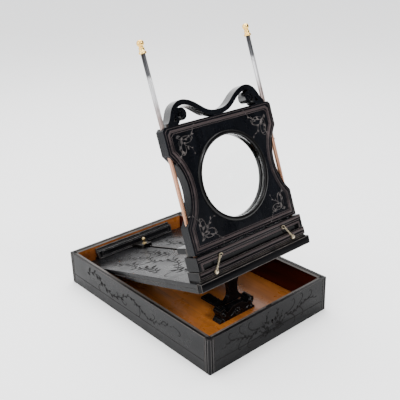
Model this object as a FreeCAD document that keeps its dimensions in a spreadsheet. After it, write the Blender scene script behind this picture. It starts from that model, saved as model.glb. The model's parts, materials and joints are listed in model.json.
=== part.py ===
"""Folding stereo-graphoscope: a wooden box with a propped platform, a hinged
frame with a large viewing lens that slides on two rods, a pair of small lenses
on a folding board, and a sliding holder for cards.

Frame: millimetres, +Z up, origin at the middle of the box's underside. The wall
with the keyhole faces -Y, the platform is hinged at the +Y wall, X is across.
"""
import FreeCAD, Part
import math
import os
import re
import Sketcher
from FreeCAD import Placement, Rotation, Vector

# ---------------------------------------------------------------- sizes
SIZE = {
    # box
    "box_width": 250.0,
    "box_length": 365.0,
    "box_height": 58.0,
    "wall": 10.0,
    "floor_thick": 8.0,
    "rim_step_width": 5.0,
    "rim_step_depth": 1.5,
    "corner_groove": 0.8,
    "groove_from_joint": 4.8,
    "corner_round": 2.6,
    "keyhole_height": 34.0,
    "keyhole_radius": 2.2,
    "keyhole_drop": 6.5,
    "lock_width": 46.0,
    "lock_height": 32.0,
    "lock_depth": 5.5,
    "bolt_slot_width": 11.0,
    "bolt_slot_depth": 3.0,
    # platform
    "side_room": 2.6,
    "platform_thick": 7.0,
    "platform_tilt": 16.1,
    "hinge_height": 24.0,
    "hinge_from_wall": 5.0,
    "hinge_below_top": 9.54,
    "front_room": 2.9,
    "apron_depth": 13.7,
    "apron_thick": 8.0,
    "apron_full": 148.0,
    "apron_length": 222.0,
    "end_board_thick": 8.0,
    "end_board_height": 12.0,
    "slot_width": 6.4,
    "slot_front": 141.5,
    # hinges
    "pin_radius": 1.5,
    "barrel_radius": 3.0,
    "leaf_thick": 1.8,
    "hinge_half_length": 20.0,
    "hinge_inset": 41.0,
    "running": 0.06,
    "end_gap": 0.3,
    # prop
    "prop_from_front": 65.0,
    "prop_lean": 5.0,
    "prop_thick": 8.0,
    "prop_back": 2.5,
    "strut_foot_half": 21.6,
    "prop_foot_height": 34.1,
    "foot_radius": 4.0,
    "foot_room": 0.35,
    "platform_travel": 13.1,
    "prop_travel": 74.9,
    "prop_base_half": 38.0,
    "prop_base_ahead": 11.6,
    "prop_base_thick": 17.0,
    "rack_half_width": 9.0,
    "rack_reach": 66.4,
    # lens frame
    "lens_lean": 19.3,
    "lens_along": 5.78,
    "lens_above": 36.95,
    "plinth_inset": 4.4,
    "rail_inset": 2.0,
    "rail_front": 5.0,
    "rail_behind_panel": 5.5,
    "rail_top": 1.5,
    "rail_joint": 21.5,
    "joint_gap": 0.5,
    "groove_inset": 9.0,
    "groove_depth": 4.0,
    "groove_top": 14.6,
    "rod_radius": 3.2,
    "rod_inset": 8.5,
    "rod_depth": 7.0,
    "rod_top": 280.0,
    "rod_spigot": 6.0,
    "finial_length": 19.0,
    # lens panel
    "panel_height": 179.0,
    "ear_beyond_rod": 5.5,
    "panel_thick": 16.5,
    "ear_bottom": 40.0,
    "ear_top": 142.0,
    "waist_depth": 18.5,
    "panel_corner": 4.0,
    "lens_height": 88.6,
    "lens_radius": 59.5,
    "lens_seat": 2.6,
    "bezel_flange": 6.5,
    "bezel_proud": 2.6,
    "bezel_sleeve": 4.5,
    "glass_edge": 5.0,
    "glass_bulge": 3.2,
    "ring_flange": 4.5,
    "ring_proud": 0.7,
    "pediment_drawn_room": 94.3,
    "pediment_crest": 32.0,
    "pediment_dip": 7.5,
    "strap": 7.5,
    # stereo flap
    "flap_inset": 10.5,
    "flap_thick": 8.5,
    "flap_length": 33.0,
    "flap_room": 0.85,
    "flap_pivot_up": 4.6,
    "flap_pin": 1.5,
    "small_lens_radius": 12.5,
    "small_lens_spacing": 72.0,
    "small_ring": 2.5,
    "small_ring_proud": 0.5,
    # card holder
    "holder_inset": 30.9,
    "holder_wall_gap": 1.366,
    "holder_depth": 11.0,
    "holder_front_height": 15.3,
    "holder_height": 19.5,
    "tongue_half_width": 11.0,
    "tongue_thick": 4.6,
    "slide_gap": 0.3,
    "knob_from_holder": 25.0,
    "knob_ball": 3.6,
    "stud_radius": 2.6,
    # hooks
    "hook_pivot_inset": 29.0,
    "hook_pivot_below": 30.0,
    "stud_inset": 42.0,
    "stud_below": 11.8,
    "hook_thick": 1.6,
    "hook_stud_radius": 1.0,
    "hook_inner": 2.4,
    "hook_wall": 1.3,
    "hook_lift": 1.1,
    "hook_bite": 0.5,
}


# lengths that follow from the ones above
def derive(size):
    """Positions worked out from the driving sizes, so that pieces keep meeting."""
    tilt = math.radians(size["platform_tilt"])
    hinge_y = size["box_length"] / 2 - size["wall"] - size["hinge_from_wall"]
    reach = 2 * hinge_y + size["hinge_from_wall"] - size["front_room"]
    hinge_along = reach - size["end_board_thick"] / 2 - 0.5
    front_y = hinge_y - hinge_along * math.cos(tilt) + size["hinge_below_top"] * math.sin(tilt)
    front_z = size["hinge_height"] + hinge_along * math.sin(tilt) + size["hinge_below_top"] * math.cos(tilt)
    pin_below = size["platform_thick"] + size["barrel_radius"] + 0.5
    along = size["prop_from_front"]
    prop_y = front_y + along * math.cos(tilt) - pin_below * math.sin(tilt)
    prop_z = front_z - along * math.sin(tilt) - pin_below * math.cos(tilt)
    lean = math.radians(size["prop_lean"])
    platform_half = size["box_width"] / 2 - size["wall"] - size["side_room"]
    holder_lean = (size["holder_height"] + size["hinge_below_top"]) * math.sin(tilt)
    holder_room = (holder_lean + size["holder_wall_gap"] - size["hinge_from_wall"]) / math.cos(tilt)
    holder_front = hinge_along - size["holder_depth"] - holder_room
    frame_lean = math.radians(size["lens_lean"]) - tilt
    rail_back = size["panel_thick"] + size["rail_behind_panel"]
    plinth_half = platform_half - size["plinth_inset"]
    rail_half = plinth_half - size["rail_inset"]
    rod_offset = rail_half - size["rod_inset"]
    panel_half = rod_offset + size["ear_beyond_rod"]
    prop_length = (prop_z - size["prop_foot_height"]) / math.cos(lean)
    foot_offset = size["prop_thick"] / 2 - size["prop_back"]
    foot_y = prop_y - prop_length * math.sin(lean) - foot_offset * math.cos(lean)
    return {
        "platform_half_width": platform_half,
        "plinth_half_width": plinth_half,
        "rail_half_width": rail_half,
        "rod_offset": rod_offset,
        "panel_half_width": panel_half,
        "waist_half_width": panel_half - size["waist_depth"],
        "groove_half_width": rail_half - size["groove_inset"],
        "flap_half_width": rail_half - size["flap_inset"],
        "holder_half_width": platform_half - size["holder_inset"],
        "hook_pivot_offset": plinth_half - size["hook_pivot_inset"],
        "stud_offset": rail_half - size["stud_inset"],
        "rail_back": rail_back,
        "flap_pivot_back": size["panel_thick"] + size["flap_room"] + size["flap_thick"] / 2,
        "prop_base_start": foot_y - size["prop_base_ahead"],
        "rack_stop": foot_y + size["rack_reach"],
        "hinge_y": hinge_y,
        "hinge_along": hinge_along,
        "front_y": front_y,
        "front_z": front_z,
        "board_end": hinge_along - size["barrel_radius"] - 0.6,
        "prop_pin_below": pin_below,
        "prop_y": prop_y,
        "prop_z": prop_z,
        "prop_length": prop_length,
        "foot_y": foot_y,
        "foot_z": size["prop_foot_height"] + (size["prop_thick"] / 2 - size["prop_back"]) * math.sin(lean),
        "hinge_offset": size["box_width"] / 2 - size["wall"] - size["hinge_inset"],
        "holder_front": holder_front,
        "knob_along": holder_front - size["knob_from_holder"],
        "plinth_front_low": (
            size["lens_above"] + (size["rail_front"] - 0.6) * math.sin(frame_lean)
        ) / math.cos(frame_lean),
        "plinth_back_low": (size["lens_above"] - rail_back * math.sin(frame_lean)) / math.cos(frame_lean),
    }


SIZE.update(derive(SIZE))


def foot_path(size, share):
    """Centre of the strut's rounded foot, as (y, z), at a share of the fold."""
    lowered = math.radians(size["platform_travel"]) * share
    turned_by = lowered + math.radians(size["prop_travel"]) * share
    arm_y = size["prop_y"] - size["hinge_y"]
    arm_z = size["prop_z"] - size["hinge_height"]
    pin_y = size["hinge_y"] + arm_y * math.cos(lowered) - arm_z * math.sin(lowered)
    pin_z = size["hinge_height"] + arm_y * math.sin(lowered) + arm_z * math.cos(lowered)
    foot_y = size["foot_y"] - size["prop_y"]
    foot_z = size["foot_z"] - size["prop_z"]
    return (
        pin_y + foot_y * math.cos(turned_by) - foot_z * math.sin(turned_by),
        pin_z + foot_y * math.sin(turned_by) + foot_z * math.cos(turned_by),
    )


def below_path(size, share, room):
    """A point under the foot's path: its centre moved square to the path."""
    y0, z0 = foot_path(size, max(share - 0.01, 0.0))
    y1, z1 = foot_path(size, share + 0.01)
    length = math.hypot(y1 - y0, z1 - z0)
    y, z = foot_path(size, share)
    reach = size["foot_radius"] + room
    return y + (z1 - z0) / length * reach, z - (y1 - y0) / length * reach

doc = FreeCAD.newDocument("StereoGraphoscope")
sheet = doc.addObject("Spreadsheet::Sheet", "Sizes")
for row, (alias, number) in enumerate(SIZE.items(), 1):
    sheet.set("A%d" % row, alias.replace("_", " "))
    sheet.set("B%d" % row, str(number))
    sheet.setAlias("B%d" % row, alias)
doc.recompute()

ALIAS = re.compile(r"[a-z][a-z_]+")


def linked(expression):
    """An expression on the sheet, from one that names its aliases bare."""
    return ALIAS.sub(lambda m: "Sizes." + m.group(0) if m.group(0) in SIZE else m.group(0), expression)


def number(expression):
    """The value an expression has now."""
    return float(sheet.evalExpression(linked(expression)))


# ---------------------------------------------------------------- placements
def turned(x, y, z, degrees=0.0):
    """A placement at a point, turned about the X direction."""
    return Placement(Vector(x, y, z), Rotation(Vector(1, 0, 0), degrees))


UPRIGHT = turned(0, 0, 0)
PLATFORM = turned(0, SIZE["front_y"], SIZE["front_z"], -SIZE["platform_tilt"])
LENS = PLATFORM * turned(0, SIZE["lens_along"], SIZE["lens_above"], SIZE["platform_tilt"] - SIZE["lens_lean"])
PROP = turned(0, SIZE["prop_y"], SIZE["prop_z"], -SIZE["prop_lean"])

# ---------------------------------------------------------------- helpers
PARTS = []
NORMAL_SIGN = {"XY": 1, "XZ": -1, "YZ": 1}


def piece(label, placement=UPRIGHT):
    """An empty body that becomes one exported piece."""
    body = doc.addObject("PartDesign::Body", "Body_" + label)
    body.Label = label
    body.Placement = placement
    PARTS.append(body)
    return body


def sketch(body, plane, start="0"):
    """A sketch on one of the body's own planes, moved along its axis to start."""
    new = body.newObject("Sketcher::SketchObject", "Sketch_" + body.Label)
    origin = [f for f in body.Origin.OriginFeatures if f.Role == plane + "_Plane"][0]
    new.AttachmentSupport = [(origin, "")]
    new.MapMode = "FlatFace"
    sign = "" if NORMAL_SIGN[plane] > 0 else "-"
    new.setExpression("AttachmentOffset.Base.z", sign + "(" + linked(start) + ")")
    return new


def pin_point(sk, geometry, which, x, y):
    """Bind one sketch point to two expressions."""
    for kind, expression in (("DistanceX", x), ("DistanceY", y)):
        index = sk.addConstraint(Sketcher.Constraint(kind, geometry, which, number(expression)))
        sk.setExpression("Constraints[%d]" % index, linked(expression))


def polygon(sk, points):
    """A closed outline through points given as pairs of expressions."""
    spots = [Vector(number(x), number(y), 0) for x, y in points]
    first = sk.GeometryCount
    for a, b in zip(spots, spots[1:] + spots[:1]):
        sk.addGeometry(Part.LineSegment(a, b), False)
    count = len(points)
    for i in range(count):
        sk.addConstraint(Sketcher.Constraint("Coincident", first + i, 2, first + (i + 1) % count, 1))
    for i, (x, y) in enumerate(points):
        pin_point(sk, first + i, 1, x, y)
    return sk


def circle(sk, x, y, radius):
    """A circle with its centre and radius bound."""
    first = sk.addGeometry(
        Part.Circle(Vector(number(x), number(y), 0), Vector(0, 0, 1), number(radius)), False
    )
    pin_point(sk, first, 3, x, y)
    index = sk.addConstraint(Sketcher.Constraint("Radius", first, number(radius)))
    sk.setExpression("Constraints[%d]" % index, linked(radius))
    return sk


def rectangle(sk, x0, y0, x1, y1):
    """An upright rectangle between two corners."""
    return polygon(sk, [(x0, y0), (x1, y0), (x1, y1), (x0, y1)])


def grow(body, sk, length, plane, both=False):
    """Pad a sketch toward the positive axis, or evenly to both sides."""
    pad = body.newObject("PartDesign::Pad", "Pad_" + body.Label)
    pad.Profile = sk
    pad.setExpression("Length", linked(length))
    pad.Midplane = both
    pad.Reversed = NORMAL_SIGN[plane] < 0 and not both
    doc.recompute()
    return pad


def cut(body, sk, length, plane, both=False):
    """Pocket a sketch toward the positive axis; the solid must get smaller."""
    before = body.Shape.Volume
    pocket = body.newObject("PartDesign::Pocket", "Pocket_" + body.Label)
    pocket.Profile = sk
    pocket.setExpression("Length", linked(length))
    pocket.Midplane = both
    pocket.Reversed = NORMAL_SIGN[plane] > 0 and not both
    doc.recompute()
    if not body.Shape.Volume < before - 0.01:
        raise SystemExit("a cut of %s took nothing away" % body.Label)
    return pocket


def spin(body, sk, axis):
    """Revolve a sketch a full turn about one of its own axes."""
    turn = body.newObject("PartDesign::Revolution", "Revolution_" + body.Label)
    turn.Profile = sk
    turn.ReferenceAxis = (sk, [axis])
    turn.Angle = 360
    doc.recompute()
    return turn


def edges_where(body, test):
    """Names of the edges of the body's present shape that pass a test."""
    found = []
    for i, edge in enumerate(body.Tip.Shape.Edges, 1):
        if test(edge):
            found.append("Edge%d" % i)
    return found


def along(edge, axis):
    """Whether an edge is straight and runs along an axis."""
    if not isinstance(edge.Curve, Part.Line):
        return False
    return abs(abs(edge.Curve.Direction.dot(axis)) - 1) < 1e-6


def ease(body, radius, test, kind="Fillet"):
    """Round or bevel the edges that pass a test."""
    names = edges_where(body, test)
    base = body.Tip
    dress = body.newObject("PartDesign::" + kind, kind + "_" + body.Label)
    dress.Base = (base, names)
    if kind == "Fillet":
        dress.Radius = radius
    else:
        dress.Size = radius
    doc.recompute()
    return dress


def solid_feature(label, shape, placement):
    """A piece whose curved form neither a pad nor a primitive gives."""
    feature = doc.addObject("Part::Feature", "Form_" + label)
    feature.Label = label
    feature.Shape = shape
    feature.Placement = placement
    PARTS.append(feature)
    return feature


X = Vector(1, 0, 0)
Y = Vector(0, 1, 0)
Z = Vector(0, 0, 1)

# ---------------------------------------------------------------- box
# floor let in between the walls
floor = piece("box_floor")
rectangle(
    sketch(floor, "XY"),
    "-(box_width / 2 - wall)", "-(box_length / 2 - wall)",
    "box_width / 2 - wall", "box_length / 2 - wall",
)
grow(floor, floor.Group[-1], "floor_thick", "XY")


def wall_section(outer, inner, rebate):
    """Cross-section of a wall with a step along its inner top edge."""
    return [
        (outer, "0"),
        (outer, "box_height"),
        (rebate, "box_height"),
        (rebate, "box_height - rim_step_depth"),
        (inner, "box_height - rim_step_depth"),
        (inner, "0"),
    ]


def wall_piece(label, plane, half, side, run):
    """One wall: half names the distance to its outer face."""
    sign = "" if side > 0 else "-"
    body = piece(label)
    sk = sketch(body, plane)
    polygon(
        sk,
        wall_section(
            sign + "(%s / 2)" % half,
            sign + "(%s / 2 - wall)" % half,
            sign + "(%s / 2 - rim_step_width)" % half,
        ),
    )
    grow(body, sk, run + " - 2 * wall", plane, both=True)
    return body


front_wall = wall_piece("box_wall_front", "YZ", "box_length", -1, "box_width")
back_wall = wall_piece("box_wall_back", "YZ", "box_length", 1, "box_width")
left_wall = wall_piece("box_wall_left", "XZ", "box_width", -1, "box_length")
right_wall = wall_piece("box_wall_right", "XZ", "box_width", 1, "box_length")

# recess for the lock behind the keyhole, the keyhole, and the bolt slot in the rim
lock_low = "keyhole_height - lock_height / 2"
lock_high = "keyhole_height + lock_height / 2"
sk = sketch(front_wall, "XZ", "-(box_length / 2 - wall) - lock_depth")
rectangle(sk, "-lock_width / 2", lock_low, "lock_width / 2", lock_high)
cut(front_wall, sk, "lock_depth", "XZ")
sk = sketch(front_wall, "XZ", "-box_length / 2")
circle(sk, "0", "keyhole_height", "keyhole_radius")
cut(front_wall, sk, "wall", "XZ")
sk = sketch(front_wall, "XZ", "-box_length / 2")
rectangle(sk, "-keyhole_radius / 2", "keyhole_height - keyhole_drop", "keyhole_radius / 2", "keyhole_height")
cut(front_wall, sk, "wall", "XZ")
sk = sketch(front_wall, "XY", lock_high)
rectangle(
    sk,
    "-bolt_slot_width / 2", "-(box_length / 2 - wall) - lock_depth + 0.8",
    "bolt_slot_width / 2", "-(box_length / 2 - wall) - lock_depth + 0.8 + bolt_slot_depth",
)
cut(front_wall, sk, "box_height", "XY")

lock = piece("lock_case")
sk = sketch(lock, "XZ", "-(box_length / 2 - wall) - lock_depth")
rectangle(sk, "-lock_width / 2", lock_low, "lock_width / 2", lock_high)
grow(lock, sk, "lock_depth", "XZ")
sk = sketch(lock, "XZ", "-(box_length / 2 - wall) - lock_depth")
circle(sk, "0", "keyhole_height", "keyhole_radius")
cut(lock, sk, "lock_depth - 1.2", "XZ")
sk = sketch(lock, "XZ", "-(box_length / 2 - wall) - lock_depth")
rectangle(sk, "-keyhole_radius / 2", "keyhole_height - keyhole_drop", "keyhole_radius / 2", "keyhole_height")
cut(lock, sk, "lock_depth - 1.2", "XZ")
sk = sketch(lock, "XY", lock_high + " - 6")
rectangle(
    sk,
    "-bolt_slot_width / 2", "-(box_length / 2 - wall) - lock_depth + 0.8",
    "bolt_slot_width / 2", "-(box_length / 2 - wall) - lock_depth + 0.8 + bolt_slot_depth",
)
cut(lock, sk, "6", "XY")

# square corner posts with eased corners and narrow grooves cut down them
CORNERS = {
    "front_left": (-1, -1),
    "front_right": (1, -1),
    "back_left": (-1, 1),
    "back_right": (1, 1),
}
for name, (sx, sy) in CORNERS.items():
    post = piece("box_corner_" + name)
    sk = sketch(post, "XY")
    cx = "%d * (box_width / 2 - wall)" % sx
    cy = "%d * (box_length / 2 - wall)" % sy
    out_x = cx + " + %d * wall" % sx
    out_y = cy + " + %d * wall" % sy
    rectangle(sk, cx, cy, out_x, out_y)
    grow(post, sk, "box_height", "XY")
    corner = Vector(number(out_x), number(out_y), 0)
    ease(post, SIZE["corner_round"],
         lambda e: along(e, Z) and e.Vertexes[0].Point.distanceToLine(corner, Z) < 0.01)
    sk = sketch(post, "XY", "box_height - rim_step_depth")
    rectangle(sk, cx, cy, cx + " + %d * rim_step_width" % sx, cy + " + %d * rim_step_width" % sy)
    cut(post, sk, "rim_step_depth", "XY")
    for x, y in (
        (out_x, cy),
        (cx, out_y),
        (out_x, cy + " + %d * groove_from_joint" % sy),
        (cx + " + %d * groove_from_joint" % sx, out_y),
    ):
        sk = sketch(post, "XY", "0")
        circle(sk, x, y, "corner_groove")
        cut(post, sk, "box_height", "XY")

# scrolled base that the prop's foot stands on, and the low rack behind it
base = piece("prop_base")
sk = sketch(base, "XZ", "prop_base_start")
seat = "prop_foot_height - foot_radius - 0.3"
half_profile = [
    ("8", seat),
    ("12", seat + " - 1.5"),
    ("16", seat + " - 5"),
    ("21", seat + " - 7"),
    ("24.5", seat + " - 5.5"),
    ("25", seat + " - 2"),
    ("28", seat + " + 1.5"),
    ("32", seat + " + 1.5"),
    ("35.5", seat + " - 1.5"),
    ("36", seat + " - 6"),
    ("34", seat + " - 10"),
    ("33", seat + " - 13.5"),
    ("35", seat + " - 17"),
    ("prop_base_half", "floor_thick + 2.4"),
    ("prop_base_half", "floor_thick"),
]
outline = half_profile + [("-(%s)" % x, z) for x, z in reversed(half_profile)]
polygon(sk, outline)
grow(base, sk, "prop_base_thick", "XZ")
# the middle is cut down to a lip and a slope that the foot bears on and swings past
slope = [below_path(SIZE, share, SIZE["foot_room"]) for share in (0.0, 0.03, 0.06, 0.09, 0.12)]
first, second = slope[0], slope[1]
rise = (first[1] - second[1]) / (second[0] - first[0])
crest = (number("prop_base_start") - 1, first[1] + 0.6)
lip = (first[0] - 0.6 / rise, first[1] + 0.6)
back = "prop_base_start + prop_base_thick"
sk = sketch(base, "YZ")
polygon(sk, [("%.4f" % y, "%.4f" % z) for y, z in [crest, lip] + slope]
        + [("%.4f" % slope[-1][0], "prop_foot_height + 20"), ("%.4f" % crest[0], "prop_foot_height + 20")])
cut(base, sk, "2 * strut_foot_half + 3", "YZ", both=True)

rack = piece("prop_rack")
sk = sketch(rack, "YZ")
teeth = [(back, "floor_thick")]
for share in (0.165, 0.21, 0.26):
    y, z = below_path(SIZE, share, 1.2)
    teeth.append(("max(%s; %.4f)" % (back, y), "%.4f" % z))
count = 5
start = "%.4f" % (below_path(SIZE, 0.26, 1.2)[0] + 0.5)
step = "(rack_stop - (%s) - 7) / %d" % (start, count)
for i in range(count):
    teeth.append((start + " + %d * %s" % (i, step), "floor_thick + 2.6"))
    teeth.append((start + " - 0.5 + %d * %s" % (i + 1, step), "floor_thick + 4.4"))
teeth.append(("rack_stop", "floor_thick + 4.4"))
teeth.append(("rack_stop", "floor_thick"))
polygon(sk, teeth)
grow(rack, sk, "2 * rack_half_width", "YZ", both=True)

# ---------------------------------------------------------------- butt hinges
def barrel(body, along_start, length, y, z, radius="barrel_radius"):
    """One knuckle along X."""
    sk = sketch(body, "YZ", along_start)
    circle(sk, y, z, radius)
    grow(body, sk, length, "YZ")


def bore(body, y, z, radius, start, length):
    """A hole along X."""
    sk = sketch(body, "YZ", start)
    circle(sk, y, z, radius)
    cut(body, sk, length, "YZ")


def leaf_outline(kind, body, x0, x1):
    """The flat of a hinge leaf, from the knuckle out along the given outline."""
    sk = sketch(body, "YZ", x0)
    polygon(sk, kind)
    grow(body, sk, "(%s) - (%s)" % (x1, x0), "YZ")


for name, side in (("left", -1), ("right", 1)):
    centre = "%d * hinge_offset" % side
    # leaf on the back wall carries the middle knuckle and the pin
    leaf = piece("platform_hinge_wall_" + name)
    inner = "box_length / 2 - wall"
    leaf_outline([
        (inner + " - leaf_thick", "hinge_height"),
        (inner + " - leaf_thick", "floor_thick + 4"),
        (inner, "floor_thick + 4"),
        (inner, "hinge_height + 12"),
        (inner + " - leaf_thick", "hinge_height + 12"),
        (inner + " - leaf_thick", "hinge_height + 1.5"),
        ("hinge_y", "hinge_height + 1.5"),
        ("hinge_y", "hinge_height"),
    ], leaf, centre + " - 7", centre + " + 7")
    barrel(leaf, centre + " - 7", "14", "hinge_y", "hinge_height")
    sk = sketch(leaf, "YZ", centre + " - hinge_half_length")
    circle(sk, "hinge_y", "hinge_height", "pin_radius")
    grow(leaf, sk, "2 * hinge_half_length", "YZ")

    # leaf under the platform carries the two outer knuckles
    leaf = piece("platform_hinge_board_" + name, PLATFORM)
    flat = [
        ("hinge_along - 26", "-platform_thick"),
        ("hinge_along - 26", "-platform_thick - leaf_thick"),
        ("hinge_along", "-platform_thick - leaf_thick"),
        ("hinge_along", "-platform_thick - 0.2"),
        ("board_end", "-platform_thick"),
    ]
    leaf_outline(flat, leaf, centre + " - hinge_half_length", centre + " - 7 - end_gap")
    barrel(leaf, centre + " - hinge_half_length", "hinge_half_length - 7 - end_gap",
           "hinge_along", "-hinge_below_top")
    leaf_outline(flat, leaf, centre + " + 7 + end_gap", centre + " + hinge_half_length")
    barrel(leaf, centre + " + 7 + end_gap", "hinge_half_length - 7 - end_gap",
           "hinge_along", "-hinge_below_top")
    leaf_outline([
        ("hinge_along - 26", "-platform_thick"),
        ("hinge_along - 26", "-platform_thick - leaf_thick"),
        ("hinge_along - 10", "-platform_thick - leaf_thick"),
        ("hinge_along - 10", "-platform_thick"),
    ], leaf, centre + " - 7 - end_gap", centre + " + 7 + end_gap")
    bore(leaf, "hinge_along", "-hinge_below_top", "pin_radius + running",
         centre + " - hinge_half_length - 1", "2 * hinge_half_length + 2")

# ---------------------------------------------------------------- platform
board = piece("platform_board", PLATFORM)
sk = sketch(board, "XY", "-platform_thick")
rectangle(sk, "-platform_half_width", "end_board_thick / 2 - 0.5", "platform_half_width", "board_end")
grow(board, sk, "platform_thick", "XY")
sk = sketch(board, "XY", "-platform_thick")
rectangle(sk, "-slot_width / 2", "slot_front", "slot_width / 2", "knob_along + slot_width / 2 + 1.2")
cut(board, sk, "platform_thick", "XY")
ease(board, 0.8, lambda e: along(e, Y) and abs(abs(e.Vertexes[0].X) - SIZE["platform_half_width"]) < 0.01)

for name, side in (("left", -1), ("right", 1)):
    apron = piece("platform_apron_" + name, PLATFORM)
    outer = "platform_half_width" if side > 0 else "-platform_half_width"
    start = outer + " - apron_thick" if side > 0 else outer
    sk = sketch(apron, "YZ", start)
    low = "-apron_depth"
    top = "-platform_thick"
    run = "(apron_length - apron_full)"
    polygon(sk, [
        ("end_board_thick / 2 - 0.5", top),
        ("end_board_thick / 2 - 0.5", low),
        ("apron_full", low),
        ("apron_full + 0.10 * " + run, low + " + 0.25"),
        ("apron_full + 0.24 * " + run, low + " + 0.9"),
        ("apron_full + 0.40 * " + run, low + " + 1.9"),
        ("apron_full + 0.58 * " + run, low + " + 3.2"),
        ("apron_full + 0.76 * " + run, low + " + 4.5"),
        ("apron_full + 0.90 * " + run, low + " + 5.3"),
        ("apron_length", low + " + 5.6"),
        ("apron_length", top),
    ])
    grow(apron, sk, "apron_thick", "YZ")

end_board = piece("platform_end_board", PLATFORM)
sk = sketch(end_board, "YZ")
back_of_board = "end_board_thick / 2 - 0.5"
polygon(sk, [
    (back_of_board + " - end_board_thick", "-0.6"),
    (back_of_board + " - end_board_thick + 1.2", "0"),
    (back_of_board, "0"),
    (back_of_board, "-end_board_height - 0.6"),
    (back_of_board + " - end_board_thick + 1", "-end_board_height - 0.6"),
    (back_of_board + " - end_board_thick", "-end_board_height + 0.4"),
])
grow(end_board, sk, "2 * (platform_half_width - 0.9)", "YZ", both=True)

# ---------------------------------------------------------------- prop
plate = piece("prop_hinge_board", PLATFORM)
pin_level = "-prop_pin_below"
leaf_outline([
    ("prop_from_front - 17", "-platform_thick"),
    ("prop_from_front - 17", "-platform_thick - leaf_thick"),
    ("prop_from_front - 2", "-platform_thick - leaf_thick"),
    ("prop_from_front - 1.5", pin_level),
    ("prop_from_front + 1.5", pin_level),
    ("prop_from_front + 1.5", "-platform_thick"),
], plate, "-5", "5")
barrel(plate, "-5", "10", "prop_from_front", pin_level)
leaf_outline([
    ("prop_from_front - 17", "-platform_thick"),
    ("prop_from_front - 17", "-platform_thick - leaf_thick"),
    ("prop_from_front - 5", "-platform_thick - leaf_thick"),
    ("prop_from_front - 5", "-platform_thick"),
], plate, "-13", "13")
sk = sketch(plate, "YZ", "-13")
circle(sk, "prop_from_front", pin_level, "pin_radius")
grow(plate, sk, "26", "YZ")

# knuckles and strap on the front of the strut
strap = piece("prop_hinge_strut", PROP)
front_face = "prop_back - prop_thick"
for low, high in (("-13", "-5 - end_gap"), ("5 + end_gap", "13")):
    barrel(strap, low, "(%s) - (%s)" % (high, low), "0", "0")
    leaf_outline([
        (front_face + " - leaf_thick", "-24"),
        (front_face, "-24"),
        (front_face, "-3.4"),
        ("-1.6", "-1.6"),
        ("-2.4", "0.6"),
        (front_face + " - leaf_thick", "-3.4"),
    ], strap, low, high)
leaf_outline([
    (front_face + " - leaf_thick", "-24"),
    (front_face, "-24"),
    (front_face, "-8"),
    (front_face + " - leaf_thick", "-8"),
], strap, "-5 - end_gap", "5 + end_gap")
bore(strap, "0", "0", "pin_radius + running", "-14", "28")

strut = piece("prop_strut", PROP)
sk = sketch(strut, "XZ", front_face)
half_profile = [
    ("13", "-4.2"),
    ("13.5", "-14"),
    ("12.2", "-0.46 * prop_length"),
    ("10.8", "-0.54 * prop_length"),
    ("9.6", "-0.60 * prop_length"),
    ("8.8", "-0.67 * prop_length"),
    ("8.8", "-0.76 * prop_length"),
    ("9.8", "-0.84 * prop_length"),
    ("12.2", "-0.91 * prop_length"),
    ("16.5", "-0.965 * prop_length"),
    ("20.8", "-prop_length"),
    ("strut_foot_half", "-prop_length - foot_radius"),
]
outline = half_profile + [("-(%s)" % x, z) for x, z in reversed(half_profile)]
polygon(sk, outline)
grow(strut, sk, "prop_thick", "XZ")
ease(strut, SIZE["foot_radius"] - 0.01,
     lambda e: along(e, X) and e.Vertexes[0].Z < -SIZE["prop_length"] - SIZE["foot_radius"] + 0.1)

# ---------------------------------------------------------------- lens frame
# fixed plinth on the platform; its foot follows the platform's slope
hinge_back = "rail_back + 2.5"
plinth = piece("plinth", LENS)
sk = sketch(plinth, "YZ")
polygon(sk, [
    ("-rail_front", "-rail_joint - joint_gap"),
    ("-rail_front", "-33"),
    ("-rail_front + 2.6", "-33.6"),
    ("-rail_front + 2.6", "-plinth_front_low + 2"),
    ("-rail_front + 0.6", "-plinth_front_low + 1.7"),
    ("-rail_front + 0.6", "-plinth_front_low"),
    ("rail_back", "-plinth_back_low"),
    ("rail_back", "-rail_joint - joint_gap"),
])
grow(plinth, sk, "2 * plinth_half_width", "YZ", both=True)

rail = piece("lens_rail", LENS)
sk = sketch(rail, "YZ")
rectangle(sk, "-rail_front", "-rail_joint", "rail_back", "-rail_top")
grow(rail, sk, "2 * rail_half_width", "YZ", both=True)
sk = sketch(rail, "XZ", "-rail_front")
rectangle(sk, "-groove_half_width", "-rail_joint", "groove_half_width", "-groove_top")
cut(rail, sk, "groove_depth", "XZ")
for side in (-1, 1):
    sk = sketch(rail, "XY", "-rail_joint + 3")
    circle(sk, "%d * rod_offset" % side, "rod_depth", "rod_radius")
    cut(rail, sk, "rail_joint", "XY")
ease(rail, 1.0, lambda e: along(e, X) and abs(e.Vertexes[0].Z + SIZE["rail_top"]) < 0.01)

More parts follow.
